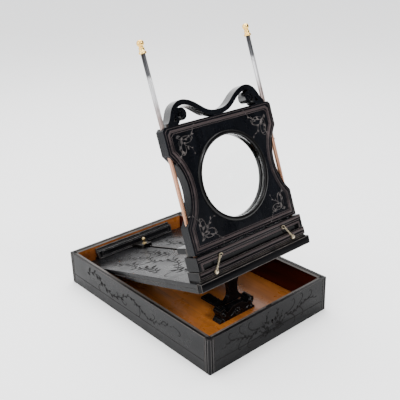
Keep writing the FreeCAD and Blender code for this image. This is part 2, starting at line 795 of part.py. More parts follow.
for name, side in (("left", -1), ("right", 1)):
    across = "%d * rod_offset" % side
    rod = piece("rod_" + name, LENS)
    sk = sketch(rod, "XY", "-rail_joint + 3")
    circle(sk, across, "rod_depth", "rod_radius")
    grow(rod, sk, "rail_joint - 3 + rod_top + rod_spigot", "XY")

    place = LENS * turned(side * SIZE["rod_offset"], SIZE["rod_depth"], SIZE["rod_top"])
    finial = piece("finial_" + name, place)
    sk = sketch(finial, "XZ")
    polygon(sk, [
        ("rod_radius", "0"),
        ("rod_radius + 2", "0"),
        ("rod_radius + 2.2", "0.6"),
        ("rod_radius + 2.2", "2.6"),
        ("rod_radius + 1.8", "3.2"),
        ("rod_radius + 0.8", "3.8"),
        ("rod_radius + 0.7", "6.2"),
        ("rod_radius + 1", "7.4"),
        ("rod_radius + 0.8", "8.2"),
        ("rod_radius - 0.1", "9.2"),
        ("rod_radius - 0.2", "9.9"),
        ("rod_radius + 0.9", "10.8"),
        ("rod_radius + 1.7", "12.4"),
        ("rod_radius + 1.95", "14.2"),
        ("rod_radius + 1.7", "16.0"),
        ("rod_radius + 0.7", "17.7"),
        ("rod_radius - 1", "18.7"),
        ("0", "finial_length"),
        ("0", "rod_spigot"),
        ("rod_radius", "rod_spigot"),
    ])
    spin(finial, sk, "V_Axis")

# fold hinges between plinth and rail
pivot_level = "-rail_joint - joint_gap / 2"
for name, side in (("left", -1), ("right", 1)):
    centre = "%d * hinge_offset" % side
    lower = piece("fold_hinge_lower_" + name, LENS)
    leaf_outline([
        ("rail_back", "-rail_joint - joint_gap - 12"),
        ("rail_back + leaf_thick", "-rail_joint - joint_gap - 12"),
        ("rail_back + leaf_thick", pivot_level + " - 1"),
        (hinge_back, pivot_level + " - 1"),
        (hinge_back, pivot_level + " - 0.4"),
        ("rail_back", pivot_level + " - 0.4"),
    ], lower, centre + " - 7", centre + " + 7")
    barrel(lower, centre + " - 7", "14", hinge_back, pivot_level, "barrel_radius - 0.6")
    sk = sketch(lower, "YZ", centre + " - hinge_half_length")
    circle(sk, hinge_back, pivot_level, "pin_radius - 0.3")
    grow(lower, sk, "2 * hinge_half_length", "YZ")
    upper = piece("fold_hinge_upper_" + name, LENS)
    for low, high in (
        (centre + " - hinge_half_length", centre + " - 7 - end_gap"),
        (centre + " + 7 + end_gap", centre + " + hinge_half_length"),
    ):
        barrel(upper, low, "(%s) - (%s)" % (high, low), hinge_back, pivot_level, "barrel_radius - 0.6")
        leaf_outline([
            ("rail_back", pivot_level + " + 0.4"),
            (hinge_back, pivot_level + " + 0.4"),
            (hinge_back, pivot_level + " + 1"),
            ("rail_back + leaf_thick", pivot_level + " + 1"),
            ("rail_back + leaf_thick", pivot_level + " + 12"),
            ("rail_back", pivot_level + " + 12"),
        ], upper, low, high)
    leaf_outline([
        ("rail_back", pivot_level + " + 5"),
        ("rail_back + leaf_thick", pivot_level + " + 5"),
        ("rail_back + leaf_thick", pivot_level + " + 12"),
        ("rail_back", pivot_level + " + 12"),
    ], upper, centre + " - 7 - end_gap", centre + " + 7 + end_gap")
    bore(upper, hinge_back, pivot_level, "pin_radius - 0.3 + running",
         centre + " - hinge_half_length - 1", "2 * hinge_half_length + 2")

# ---------------------------------------------------------------- lens panel
panel = piece("lens_panel", LENS)
sk = sketch(panel, "XZ", "0")
polygon(sk, [
    ("-panel_half_width", "0"),
    ("panel_half_width", "0"),
    ("panel_half_width", "panel_height - panel_corner"),
    ("panel_half_width - panel_corner", "panel_height"),
    ("-panel_half_width + panel_corner", "panel_height"),
    ("-panel_half_width", "panel_height - panel_corner"),
])
grow(panel, sk, "panel_thick", "XZ")
# concave waists: one arc through both ear corners and the narrowest point
chord = "(ear_top - ear_bottom) / 2"
sag = "(panel_half_width - waist_half_width)"
waist_radius = "((%s)^2 + %s^2) / (2 * %s)" % (chord, sag, sag)
for side in (-1, 1):
    sk = sketch(panel, "XZ", "0")
    middle = "%d * (waist_half_width + %s)" % (side, waist_radius)
    circle(sk, middle, "(ear_top + ear_bottom) / 2", waist_radius)
    cut(panel, sk, "panel_thick", "XZ")
seat_radius = "lens_radius + lens_seat"
sk = sketch(panel, "XZ", "0")
circle(sk, "0", "lens_height", seat_radius)
cut(panel, sk, "panel_thick", "XZ")
for side in (-1, 1):
    sk = sketch(panel, "XY", "-1")
    circle(sk, "%d * rod_offset" % side, "rod_depth", "rod_radius + running")
    cut(panel, sk, "panel_height + 2", "XY")

# ring profiles are drawn as radius against depth and spun about the lens axis
LENS_AXIS = LENS * turned(0, 0, SIZE["lens_height"])


def ring(label, points):
    """A turned ring about the big lens's axis."""
    body = piece(label, LENS_AXIS)
    sk = sketch(body, "XY")
    polygon(sk, points)
    spin(body, sk, "V_Axis")
    return body


ring("lens_bezel", [
    ("lens_radius", "-bezel_proud + 0.9"),
    ("lens_radius + 0.9", "-bezel_proud"),
    ("lens_radius + bezel_flange - 1.6", "-bezel_proud"),
    ("lens_radius + bezel_flange", "-bezel_proud + 1.6"),
    ("lens_radius + bezel_flange", "0"),
    ("lens_radius + lens_seat", "0"),
    ("lens_radius + lens_seat", "bezel_sleeve"),
    ("lens_radius", "bezel_sleeve"),
])
ring("lens_retaining_ring", [
    ("lens_radius", "bezel_sleeve + glass_edge"),
    ("lens_radius + lens_seat", "bezel_sleeve + glass_edge"),
    ("lens_radius + lens_seat", "panel_thick"),
    ("lens_radius + ring_flange", "panel_thick"),
    ("lens_radius + ring_flange", "panel_thick + ring_proud"),
    ("lens_radius", "panel_thick + ring_proud"),
])


def biconvex(label, placement, radius, lip, edge, bulge, centre_depth):
    """A lens about its own Y axis: two shallow caps inside a flat lip."""
    body = piece(label, placement)
    sk = sketch(body, "XY")
    edge_radius = number(radius)
    cap_radius = edge_radius - number(lip)
    front = number(centre_depth) - number(edge) / 2
    rear = number(centre_depth) + number(edge) / 2
    swell = number(bulge)
    sphere = (cap_radius ** 2 + swell ** 2) / (2 * swell)
    half_rise = swell - (sphere - math.sqrt(sphere ** 2 - (cap_radius / 2) ** 2))
    tip_front = Vector(0, front - swell, 0)
    mid_front = Vector(cap_radius / 2, front - half_rise, 0)
    lip_front = Vector(cap_radius, front, 0)
    rim_front = Vector(edge_radius, front, 0)
    rim_rear = Vector(edge_radius, rear, 0)
    lip_rear = Vector(cap_radius, rear, 0)
    mid_rear = Vector(cap_radius / 2, rear + half_rise, 0)
    tip_rear = Vector(0, rear + swell, 0)
    sk.addGeometry(Part.Arc(tip_front, mid_front, lip_front), False)
    sk.addGeometry(Part.LineSegment(lip_front, rim_front), False)
    sk.addGeometry(Part.LineSegment(rim_front, rim_rear), False)
    sk.addGeometry(Part.LineSegment(rim_rear, lip_rear), False)
    sk.addGeometry(Part.Arc(lip_rear, mid_rear, tip_rear), False)
    sk.addGeometry(Part.LineSegment(tip_rear, tip_front), False)
    low = centre_depth + " - (%s) / 2" % edge
    high = centre_depth + " + (%s) / 2" % edge
    inside = "(%s) - (%s)" % (radius, lip)
    pin_point(sk, 1, 1, inside, low)
    pin_point(sk, 2, 1, radius, low)
    pin_point(sk, 2, 2, radius, high)
    pin_point(sk, 3, 2, inside, high)
    pin_point(sk, 5, 1, "0", high + " + " + bulge)
    pin_point(sk, 5, 2, "0", low + " - " + bulge)
    spin(body, sk, "V_Axis")
    return body


biconvex("lens_glass", LENS_AXIS, "lens_radius + lens_seat", "lens_seat + 0.2", "glass_edge",
         "glass_bulge", "bezel_sleeve + glass_edge / 2")


# crest on top of the panel: one strap that dips in the middle, rises to two
# crests, comes down outside and curls inward in a volute at each side
def strap_outline(size):
    """Centre line of the right half of the strap, from the middle outward."""
    spread = (size["rod_offset"] - size["rod_radius"]) / size["pediment_drawn_room"]
    top = size["panel_height"]
    crest = top + size["pediment_crest"] - size["strap"] / 2
    dip = top + size["pediment_dip"] - size["strap"] / 2
    return [
        Vector(0, 0, dip),
        Vector(10 * spread, 0, dip + 0.5),
        Vector(20 * spread, 0, dip + 3.6),
        Vector(31 * spread, 0, dip + 10.6),
        Vector(42 * spread, 0, dip + 18.4),
        Vector(52 * spread, 0, crest - 1.6),
        Vector(61 * spread, 0, crest),
        Vector(70 * spread, 0, crest - 2.4),
        Vector(77 * spread, 0, crest - 8.6),
        Vector(81.5 * spread, 0, crest - 16.8),
        Vector(86 * spread, 0, top + 4.2),
        Vector(89.2 * spread, 0, top + 1.2),
    ]


def thick_strap(points, width, depth):
    """A flat strap of even width about a smooth centre line in the X-Z plane."""
    curve = Part.BSplineCurve()
    curve.interpolate(points)
    first, last = curve.FirstParameter, curve.LastParameter
    outer = []
    inner = []
    steps = 40
    for i in range(steps + 1):
        at = first + (last - first) * i / steps
        spot = curve.value(at)
        way = curve.tangent(at)[0]
        side = Vector(-way.z, 0, way.x)
        outer.append(spot + side * (width / 2))
        inner.append(spot - side * (width / 2))
    upper = Part.BSplineCurve()
    upper.interpolate(outer)
    lower = Part.BSplineCurve()
    lower.interpolate(list(reversed(inner)))
    edges = [
        upper.toShape(),
        Part.LineSegment(outer[-1], inner[-1]).toShape(),
        lower.toShape(),
        Part.LineSegment(inner[0], outer[0]).toShape(),
    ]
    return Part.Face(Part.Wire(edges)).extrude(Vector(0, depth, 0))


def volute(size):
    """The curl: a spiral joined to the foot of the strap by a short tail."""
    spread = (size["rod_offset"] - size["rod_radius"]) / size["pediment_drawn_room"]
    top = size["panel_height"]
    eye = Vector(65.5 * spread, 0, top + 12.2)
    turn = []
    for i in range(25):
        angle = math.radians(-62 + 330 * i / 24)
        reach = 9.2 - 3.4 * i / 24
        turn.append(eye + Vector(math.cos(angle) * reach, 0, math.sin(angle) * reach))
    tail = [Vector(86.5 * spread, 0, top + 2.4), Vector(80 * spread, 0, top + 2.0)]
    tail.append(Vector(eye.x + 9, 0, top + 2.9))
    return tail, turn, eye


def pediment_shape(size):
    """Both halves of the crest fused into one piece of board."""
    depth = size["panel_thick"]
    spread = (size["rod_offset"] - size["rod_radius"]) / size["pediment_drawn_room"]
    right = thick_strap(strap_outline(size), size["strap"], depth)
    tail, turn, eye = volute(size)
    curl = thick_strap(tail + turn[2:], 4.6, depth)
    button = Part.makeCylinder(3.6, depth, Vector(eye.x, 0, eye.z), Vector(0, 1, 0))
    foot = Part.makeBox(11.5, depth, 3.6, Vector(92 * spread - 11.5, 0, size["panel_height"]))
    right = right.fuse([curl, button, foot])
    seat = Part.makeBox(400, 3 * depth, 60, Vector(-200, -depth, size["panel_height"] - 60))
    right = right.cut(seat)
    half_space = Part.makeBox(200, 3 * depth, 400, Vector(0, -depth, 0))
    right = right.common(half_space)
    left = right.mirror(Vector(0, 0, 0), Vector(1, 0, 0))
    halves = right.fuse(left).removeSplitter()
    solids = halves.Solids
    return max(solids, key=lambda one: one.Volume)


solid_feature("pediment", pediment_shape(SIZE), LENS)

# ---------------------------------------------------------------- stereo flap
pivot_back = "flap_pivot_back"
pivot_up = "flap_pivot_up"
flap = piece("stereo_board", LENS)
sk = sketch(flap, "YZ")
rectangle(sk, pivot_back, pivot_up + " - flap_thick / 2",
          pivot_back + " - flap_thick / 2 + flap_length", pivot_up + " + flap_thick / 2")
grow(flap, sk, "2 * flap_half_width", "YZ", both=True)
sk = sketch(flap, "YZ", "-flap_half_width")
circle(sk, pivot_back, pivot_up, "flap_thick / 2")
grow(flap, sk, "2 * flap_half_width", "YZ")
small_centre = pivot_back + " - flap_thick / 2 + flap_length / 2 + 1.5"
for side in (-1, 1):
    sk = sketch(flap, "XY", pivot_up + " - flap_thick")
    circle(sk, "%d * small_lens_spacing / 2" % side, small_centre, "small_lens_radius")
    cut(flap, sk, "2 * flap_thick", "XY")
bore(flap, pivot_back, pivot_up, "flap_pin + running", "-flap_half_width", "8")
bore(flap, pivot_back, pivot_up, "flap_pin + running", "flap_half_width - 8", "8")

for name, side in (("left", -1), ("right", 1)):
    # bracket on the back of the rail with a peg into the end of the board
    bracket = piece("stereo_bracket_" + name, LENS)
    start = "flap_half_width + end_gap" if side > 0 else "-flap_half_width - end_gap - 3"
    sk = sketch(bracket, "YZ", start)
    polygon(sk, [
        ("rail_back", "-rail_joint + 6"),
        ("rail_back + 3.4", "-rail_joint + 6"),
        ("rail_back + 3.4", pivot_up + " + 3"),
        ("rail_back + 1.6", pivot_up + " + 4.6"),
        (pivot_back + " - 2.2", pivot_up + " + 4.6"),
        (pivot_back + " - 4.1", pivot_up + " + 2.8"),
        (pivot_back + " - 4.1", "-rail_top + 0.02"),
        ("rail_back", "-rail_top + 0.02"),
    ])
    grow(bracket, sk, "3", "YZ")
    peg = "flap_half_width - 6" if side > 0 else "-flap_half_width - end_gap - 1"
    sk = sketch(bracket, "YZ", peg)
    circle(sk, pivot_back, pivot_up, "flap_pin")
    grow(bracket, sk, "7 + end_gap", "YZ")

    # small lens in its ring, seated in the board
    place = LENS * Placement(
        Vector(side * SIZE["small_lens_spacing"] / 2, number(small_centre), SIZE["flap_pivot_up"]),
        Rotation(Vector(1, 0, 0), 90),
    )
    mount = piece("stereo_ring_" + name, place)
    sk = sketch(mount, "XY")
    polygon(sk, [
        ("small_lens_radius", "-flap_thick / 2"),
        ("small_lens_radius", "flap_thick / 2"),
        ("small_lens_radius + small_ring - 0.4", "flap_thick / 2"),
        ("small_lens_radius + small_ring - 0.4", "flap_thick / 2 + small_ring_proud"),
        ("small_lens_radius - 1.4", "flap_thick / 2 + small_ring_proud"),
        ("small_lens_radius - 1.4", "1.2"),
        ("small_lens_radius - 0.7", "1.2"),
        ("small_lens_radius - 0.7", "-1.2"),
        ("small_lens_radius - 1.4", "-1.2"),
        ("small_lens_radius - 1.4", "-flap_thick / 2"),
    ])
    spin(mount, sk, "V_Axis")
    biconvex("stereo_lens_" + name, place, "small_lens_radius - 0.7", "0.8", "2.4", "1.3", "0")

# ---------------------------------------------------------------- card holder
holder = piece("holder_rail", PLATFORM)
sk = sketch(holder, "YZ")
polygon(sk, [
    ("holder_front", "slide_gap"),
    ("holder_front + 4.6", "holder_front_height"),
    ("holder_front + 8.4", "holder_height"),
    ("holder_front + holder_depth", "holder_height"),
    ("holder_front + holder_depth", "slide_gap"),
])
grow(holder, sk, "2 * holder_half_width", "YZ", both=True)
# groove along the top that the card stands in
sk = sketch(holder, "YZ")
polygon(sk, [
    ("holder_front + 5.6", "holder_height + 2"),
    ("holder_front + 5.6", "holder_height - 8"),
    ("holder_front + 7.6", "holder_height - 8"),
    ("holder_front + 7.6", "holder_height + 2"),
])
cut(holder, sk, "2 * holder_half_width + 2", "YZ", both=True)
# notch for the tongue
sk = sketch(holder, "XY", "slide_gap")
rectangle(sk, "-tongue_half_width", "holder_front - 1", "tongue_half_width", "holder_front + 4.5")
cut(holder, sk, "tongue_thick", "XY")

tongue = piece("holder_tongue", PLATFORM)
sk = sketch(tongue, "XY", "slide_gap")
rectangle(sk, "-tongue_half_width", "knob_along - 9", "tongue_half_width", "holder_front + 4.5")
grow(tongue, sk, "tongue_thick", "XY")
ease(tongue, 5.0, lambda e: along(e, Z) and e.Vertexes[0].Y < SIZE["knob_along"])
sk = sketch(tongue, "XY", "slide_gap")
circle(sk, "0", "knob_along", "stud_radius")
cut(tongue, sk, "tongue_thick", "XY")

# stud with its guide shoe under the platform
KNOB = PLATFORM * turned(0, SIZE["knob_along"], 0)
stud = piece("clamp_stud", KNOB)
sk = sketch(stud, "XZ")
polygon(sk, [
    ("0", "-platform_thick - slide_gap - 4"),
    ("7.5", "-platform_thick - slide_gap - 4"),
    ("8.5", "-platform_thick - slide_gap - 3"),
    ("8.5", "-platform_thick - slide_gap"),
    ("stud_radius", "-platform_thick - slide_gap"),
    ("stud_radius", "slide_gap + tongue_thick"),
    ("1.2", "slide_gap + tongue_thick"),
    ("1.2", "slide_gap + tongue_thick + 2.2"),
    ("0", "slide_gap + tongue_thick + 2.2"),
])
spin(stud, sk, "V_Axis")

knob = piece("clamp_knob", KNOB)
sk = sketch(knob, "XZ")
low = "slide_gap + tongue_thick + 0.05"
polygon(sk, [
    ("1.2 + running", low),
    ("4.4", low),
    ("4.4", low + " + 0.8"),
    ("3.6", low + " + 1.5"),
    ("2.1", low + " + 2.4"),
    ("1.9", low + " + 3.6"),
    ("2.4", low + " + 4.6"),
    ("knob_ball - 0.4", low + " + 6.0"),
    ("knob_ball", low + " + 7.8"),
    ("knob_ball - 0.35", low + " + 9.6"),
    ("knob_ball - 1.4", low + " + 10.9"),
    ("1.0", low + " + 11.5"),
    ("0", low + " + 11.6"),
    ("0", low + " + 2.4"),
    ("1.2 + running", low + " + 2.4"),
])
spin(knob, sk, "V_Axis")

# ---------------------------------------------------------------- hooks
# each hook lies flat on the plinth, turning on a screw, and curls over a stud on
# the rail; the curl is long enough for the stud to lift out as the frame folds
for name, side in (("left", -1), ("right", 1)):
    # plain stud with a domed end
    place = LENS * turned(side * SIZE["stud_offset"], -SIZE["rail_front"], -SIZE["stud_below"])
    peg = piece("hook_stud_" + name, place)
    sk = sketch(peg, "XY")
    polygon(sk, [
        ("0", "4"),
        ("hook_stud_radius", "4"),
        ("hook_stud_radius", "-0.8"),
        ("hook_stud_radius - 0.25", "-1.2"),
        ("hook_stud_radius - 0.7", "-0.8 - hook_bite"),
        ("0", "-0.8 - hook_bite"),
    ])
    spin(peg, sk, "V_Axis")
    hole = sketch(rail, "XZ", "-rail_front")
    circle(hole, "%d * stud_offset" % side, "-stud_below", "hook_stud_radius")
    cut(rail, hole, "4", "XZ")

    # shouldered pivot screw
    place = LENS * turned(side * SIZE["hook_pivot_offset"], -SIZE["rail_front"], -SIZE["hook_pivot_below"])
    screw = piece("hook_screw_" + name, place)
    sk = sketch(screw, "XY")
    polygon(sk, [
        ("0", "6"),
        ("1.2", "6"),
        ("1.2", "0"),
        ("1.5", "0"),
        ("1.5", "-0.9 - hook_thick"),
        ("2.7", "-0.9 - hook_thick"),
        ("2.4", "-1.7 - hook_thick"),
        ("1.2", "-2.1 - hook_thick"),
        ("0", "-2.1 - hook_thick"),
    ])
    spin(screw, sk, "V_Axis")
    hole = sketch(plinth, "XZ", "-rail_front")
    circle(hole, "%d * hook_pivot_offset" % side, "-hook_pivot_below", "1.2")
    cut(plinth, hole, "6", "XZ")


    # the hook: eye, slim arm and open curl, cut from one plate
    hook = piece("hook_" + name, place)
    back_face = "-0.5 - hook_thick"
    curl_x = "%d * (hook_pivot_offset - stud_offset)" % -side
    curl_z = "hook_pivot_below - stud_below + hook_lift"
    sk = sketch(hook, "XZ", back_face)
    circle(sk, "0", "0", "3.4")
    grow(hook, sk, "hook_thick", "XZ")
    root_x = SIZE["hook_pivot_offset"] - SIZE["stud_offset"] - 2.9
    root_z = SIZE["hook_pivot_below"] - SIZE["stud_below"] + SIZE["hook_lift"] - 1.0
    length = math.hypot(root_x, root_z)
    way = (root_x / length, root_z / length)
    arm = []
    for far, half in ((0, 1.9), (0.3, 1.25), (0.7, 1.15), (1.0, 1.3)):
        arm.append((far * root_x - way[1] * half, far * root_z + way[0] * half))
    for far, half in ((1.0, 1.3), (0.7, 1.15), (0.3, 1.25), (0, 1.9)):
        arm.append((far * root_x + way[1] * half, far * root_z - way[0] * half))
    sk = sketch(hook, "XZ", back_face)
    polygon(sk, [("%.4f" % (-side * x), "%.4f" % z) for x, z in arm])
    grow(hook, sk, "hook_thick", "XZ")
    sk = sketch(hook, "XZ", back_face)
    circle(sk, curl_x, curl_z, "hook_inner + hook_wall")
    grow(hook, sk, "hook_thick", "XZ")
    sk = sketch(hook, "XZ", back_face)
    circle(sk, curl_x, curl_z, "hook_inner")
    cut(hook, sk, "hook_thick", "XZ")
    mouth = [("0", "0")]
    for reach, angle in ((4.6, -118), (7, -75), (7, -40), (4.6, 0)):
        mouth.append((
            "%.4f" % (-side * reach * math.cos(math.radians(angle))),
            "%.4f" % (reach * math.sin(math.radians(angle))),
        ))
    sk = sketch(hook, "XZ", back_face)
    polygon(sk, [(curl_x + " + (%s)" % x, curl_z + " + (%s)" % z) for x, z in mouth])
    cut(hook, sk, "hook_thick", "XZ")
    sk = sketch(hook, "XZ", back_face)
    circle(sk, "0", "0", "1.5 + running")
    cut(hook, sk, "hook_thick", "XZ")

# ---------------------------------------------------------------- checks and export
doc.recompute()
faults = []
for each in doc.Objects:
    if "Invalid" in each.State or "Error" in each.State:
        faults.append("%s is %s" % (each.Label, each.State))
for each in PARTS:
    shape = each.Shape
    if shape.isNull() or not shape.isValid():
        faults.append("%s has no valid shape" % each.Label)
    elif len(shape.Solids) != 1:
        faults.append("%s has %d solids" % (each.Label, len(shape.Solids)))
if faults:
    raise SystemExit("\n".join(faults))

os.makedirs("parts", exist_ok=True)
for each in PARTS:
    each.Shape.exportStep("parts/%s.step" % each.Label)
print("%d pieces written" % len(PARTS))
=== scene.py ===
"""Folding stereo-graphoscope: looks built around its fixed frame."""
import json
import math
import bmesh
import bpy
from mathutils import Matrix, Vector


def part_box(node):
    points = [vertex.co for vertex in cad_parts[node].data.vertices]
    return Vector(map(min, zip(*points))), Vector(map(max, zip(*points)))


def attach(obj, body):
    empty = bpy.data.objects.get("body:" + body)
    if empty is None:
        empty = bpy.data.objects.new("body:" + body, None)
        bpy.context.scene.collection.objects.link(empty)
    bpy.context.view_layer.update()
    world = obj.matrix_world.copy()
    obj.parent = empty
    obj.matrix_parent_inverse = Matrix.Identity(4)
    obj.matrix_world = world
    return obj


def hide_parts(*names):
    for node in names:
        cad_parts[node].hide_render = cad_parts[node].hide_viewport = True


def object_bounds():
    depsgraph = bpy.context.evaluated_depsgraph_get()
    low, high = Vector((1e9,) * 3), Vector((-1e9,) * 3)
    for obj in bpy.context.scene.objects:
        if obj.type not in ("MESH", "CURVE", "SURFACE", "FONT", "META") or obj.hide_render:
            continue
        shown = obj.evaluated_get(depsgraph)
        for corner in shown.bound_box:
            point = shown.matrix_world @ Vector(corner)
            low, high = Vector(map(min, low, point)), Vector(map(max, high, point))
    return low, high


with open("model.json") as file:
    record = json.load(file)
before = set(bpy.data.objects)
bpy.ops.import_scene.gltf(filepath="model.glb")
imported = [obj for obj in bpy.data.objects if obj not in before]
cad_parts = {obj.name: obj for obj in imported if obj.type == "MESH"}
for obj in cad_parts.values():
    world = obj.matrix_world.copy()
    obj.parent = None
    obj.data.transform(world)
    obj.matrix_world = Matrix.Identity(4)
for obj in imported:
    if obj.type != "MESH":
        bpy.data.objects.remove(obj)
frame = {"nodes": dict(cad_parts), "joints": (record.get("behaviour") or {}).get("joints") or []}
cad_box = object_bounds()
nodes = frame["nodes"]

# ------------------------------------------------------------------ studio
# A plain pale table top under soft overhead light, seen a little from above
# past the box's left front corner.
camera_data = bpy.data.cameras.new("camera")
camera_data.lens = 58.4
camera_data.sensor_width = 36.0
camera_data.clip_start = 0.05
camera = bpy.data.objects.new("camera", camera_data)
bpy.context.scene.collection.objects.link(camera)
bpy.context.scene.camera = camera
camera.location = (-0.6051, -0.7395, 0.5712)
sight = Vector((0.0224, 0.0002, 0.1665)) - camera.location
level = sight.to_track_quat("-Z", "Y")
camera.rotation_mode = "QUATERNION"
camera.rotation_quaternion = level @ Matrix.Rotation(math.radians(-1.88), 4, "Z").to_quaternion()


def light(name, place, aim, size, watts):
    """A square soft box turned towards a point."""
    data = bpy.data.lights.new(name, "AREA")
    data.shape = "SQUARE"
    data.size = size
    data.energy = watts
    lamp = bpy.data.objects.new(name, data)
    lamp.location = place
    way = Vector(aim) - Vector(place)
    lamp.rotation_mode = "QUATERNION"
    lamp.rotation_quaternion = way.to_track_quat("-Z", "Y")
    bpy.context.scene.collection.objects.link(lamp)


light("overhead", (0.2, 0.5, 1.9), (0, 0, 0.1), 1.7, 52)
light("left_box", (-1.7, 0.2, 0.9), (0, 0, 0.15), 0.9, 12)
light("small_front", (0.15, -1.3, 1.25), (0, -0.05, 0.1), 0.35, 14)

# The room is pale all round, except for its unlit side past the front right. That
# side shows only in the polish; looked at directly, the room is one plain wall.
ROOM_GLOW, UNLIT_GLOW, WALL_SHADE = 2.3, 0.05, 1.7
world = bpy.data.worlds.new("studio")
world.use_nodes = True
sky = world.node_tree
back_cloth = sky.nodes["Background"]
back_cloth.inputs["Color"].default_value = (0.985, 0.99, 1.0, 1.0)
look = sky.nodes.new("ShaderNodeTexCoord")
facing = sky.nodes.new("ShaderNodeVectorMath")
facing.operation = "DOT_PRODUCT"
facing.inputs[1].default_value = (0.62, -0.76, 0.20)
sky.links.new(look.outputs["Generated"], facing.inputs[0])
unlit = sky.nodes.new("ShaderNodeMapRange")
unlit.interpolation_type = "SMOOTHSTEP"
unlit.inputs["From Min"].default_value = 0.50
unlit.inputs["From Max"].default_value = 0.80
unlit.inputs["To Min"].default_value = ROOM_GLOW
unlit.inputs["To Max"].default_value = UNLIT_GLOW
sky.links.new(facing.outputs["Value"], unlit.inputs["Value"])
seen = sky.nodes.new("ShaderNodeLightPath")
plain_wall = sky.nodes.new("ShaderNodeMix")
plain_wall.inputs["B"].default_value = WALL_SHADE
sky.links.new(seen.outputs["Is Camera Ray"], plain_wall.inputs["Factor"])
sky.links.new(unlit.outputs["Result"], plain_wall.inputs["A"])
sky.links.new(plain_wall.outputs["Result"], back_cloth.inputs["Strength"])
bpy.context.scene.world = world

REACH = 40.0
table_mesh = bpy.data.meshes.new("table_top")
table_corners = [(-REACH, -REACH, 0), (REACH, -REACH, 0), (REACH, REACH, 0), (-REACH, REACH, 0)]
table_mesh.from_pydata(table_corners, [], [(0, 1, 2, 3)])
table_top = bpy.data.objects.new("table_top", table_mesh)
bpy.context.scene.collection.objects.link(table_top)
pale = bpy.data.materials.new("pale_table")
pale.use_nodes = True
paint = pale.node_tree.nodes["Principled BSDF"]
paint.inputs["Base Color"].default_value = (0.97, 0.97, 0.97, 1)
paint.inputs["Roughness"].default_value = 0.85
table_mesh.materials.append(pale)

# ------------------------------------------------------------------ box walls
# Four boards of a light wood, ebonised and polished outside, stained and
# polished inside, the side boards' insides stained much darker as painted shade,
# with a small step worked along the inner edge of the rim.


def new_group(name, kind, sockets, results):
    """An empty node group with named inputs and outputs, ready to be filled."""
    group = bpy.data.node_groups.new(name, kind)
    for title, sort, *start in sockets:
        made = group.interface.new_socket(name=title, in_out="INPUT", socket_type="NodeSocket" + sort)
        if start:
            made.default_value = start[0]
    for title, sort in results:
        group.interface.new_socket(name=title, in_out="OUTPUT", socket_type="NodeSocket" + sort)
    make = group.nodes.new
    return group, make, group.links.new, make("NodeGroupInput"), make("NodeGroupOutput")


def ranged(make, join, value, span, to=(0.0, 1.0)):
    """A value stretched from one span to another."""
    node = make("ShaderNodeMapRange")
    for title, limit in zip(("From Min", "From Max", "To Min", "To Max"), (*span, *to)):
        node.inputs[title].default_value = limit
    join(value, node.inputs["Value"])
    return node.outputs["Result"]


def reckoned(make, join, operation, *terms):
    """One step of arithmetic on plain numbers and other nodes' values."""
    node = make("ShaderNodeMath")
    node.operation = operation
    for entry, term in zip(node.inputs, terms):
        if isinstance(term, float):
            entry.default_value = term
        else:
            join(term, entry)
    return node.outputs[0]


def clouded(make, join, vector, scale, **settings):
    """Soft noise at a scale that another node gives."""
    node = make("ShaderNodeTexNoise")
    for title, value in settings.items():
        node.inputs[title].default_value = value
    join(vector, node.inputs["Vector"])
    join(scale, node.inputs["Scale"])
    return node


def blended(make, join, factor, first, second, way="MIX"):
    """Two colours mixed by a factor; each is a plain colour or another node's."""
    node = make("ShaderNodeMix")
    node.data_type = "RGBA"
    node.blend_type = way
    for title, colour in (("A", first), ("B", second)):
        if isinstance(colour, tuple):
            node.inputs[title].default_value = (*colour, 1)
        else:
            join(colour, node.inputs[title])
    join(factor, node.inputs["Factor"])
    return node.outputs["Result"]


def grain_group():
    """Wood grain: long fibres, broad figure and short pores, from stretched noise."""
    group, make, join, entry, leave = new_group("wood_grain", "ShaderNodeTree", [
        ("Vector", "Vector"), ("Fibre scale", "Float", 260.0), ("Figure scale", "Float", 24.0),
        ("Warp", "Float", 1.2),
    ], [("Fibre", "Float"), ("Figure", "Float"), ("Pore", "Float")])
    vector = entry.outputs["Vector"]
    fibre = clouded(make, join, vector, entry.outputs["Fibre scale"], Detail=5.0, Roughness=0.65)
    join(fibre.outputs["Fac"], leave.inputs["Fibre"])
    figure = clouded(make, join, vector, entry.outputs["Figure scale"], Detail=3.0)
    join(entry.outputs["Warp"], figure.inputs["Distortion"])
    join(figure.outputs["Fac"], leave.inputs["Figure"])
    finer = reckoned(make, join, "MULTIPLY", entry.outputs["Fibre scale"], 2.4)
    pore = clouded(make, join, vector, finer, Detail=1.0)
    join(ranged(make, join, pore.outputs["Fac"], (0.60, 0.72)), leave.inputs["Pore"])
    return group


def handling_group():
    """Uneven polish: cloudy smears, and specks of settled dust."""
    group, make, join, entry, leave = new_group("handling", "ShaderNodeTree", [
        ("Vector", "Vector"), ("Cloud scale", "Float", 18.0), ("Speck scale", "Float", 900.0),
    ], [("Cloud", "Float"), ("Speck", "Float")])
    vector = entry.outputs["Vector"]
    cloud = clouded(make, join, vector, entry.outputs["Cloud scale"], Detail=6.0, Roughness=0.6,
                    Distortion=0.6)
    join(cloud.outputs["Fac"], leave.inputs["Cloud"])
    speck = clouded(make, join, vector, entry.outputs["Speck scale"], Detail=2.0)
    join(ranged(make, join, speck.outputs["Fac"], (0.66, 0.78)), leave.inputs["Speck"])
    return group


GRAIN = grain_group()
HANDLING = handling_group()
STRETCH = {"x": (0.08, 1.0, 1.0), "y": (1.0, 0.08, 1.0), "z": (1.0, 1.0, 0.08)}


def blank(name, **sockets):
    """A new material whose constant sockets are set on the shader itself."""
    material = bpy.data.materials.new(name)
    material.use_nodes = True
    shader = material.node_tree.nodes["Principled BSDF"]
    for key, value in sockets.items():
        shader.inputs[key.replace("_", " ")].default_value = value
    return material, material.node_tree.nodes.new, material.node_tree.links.new, shader


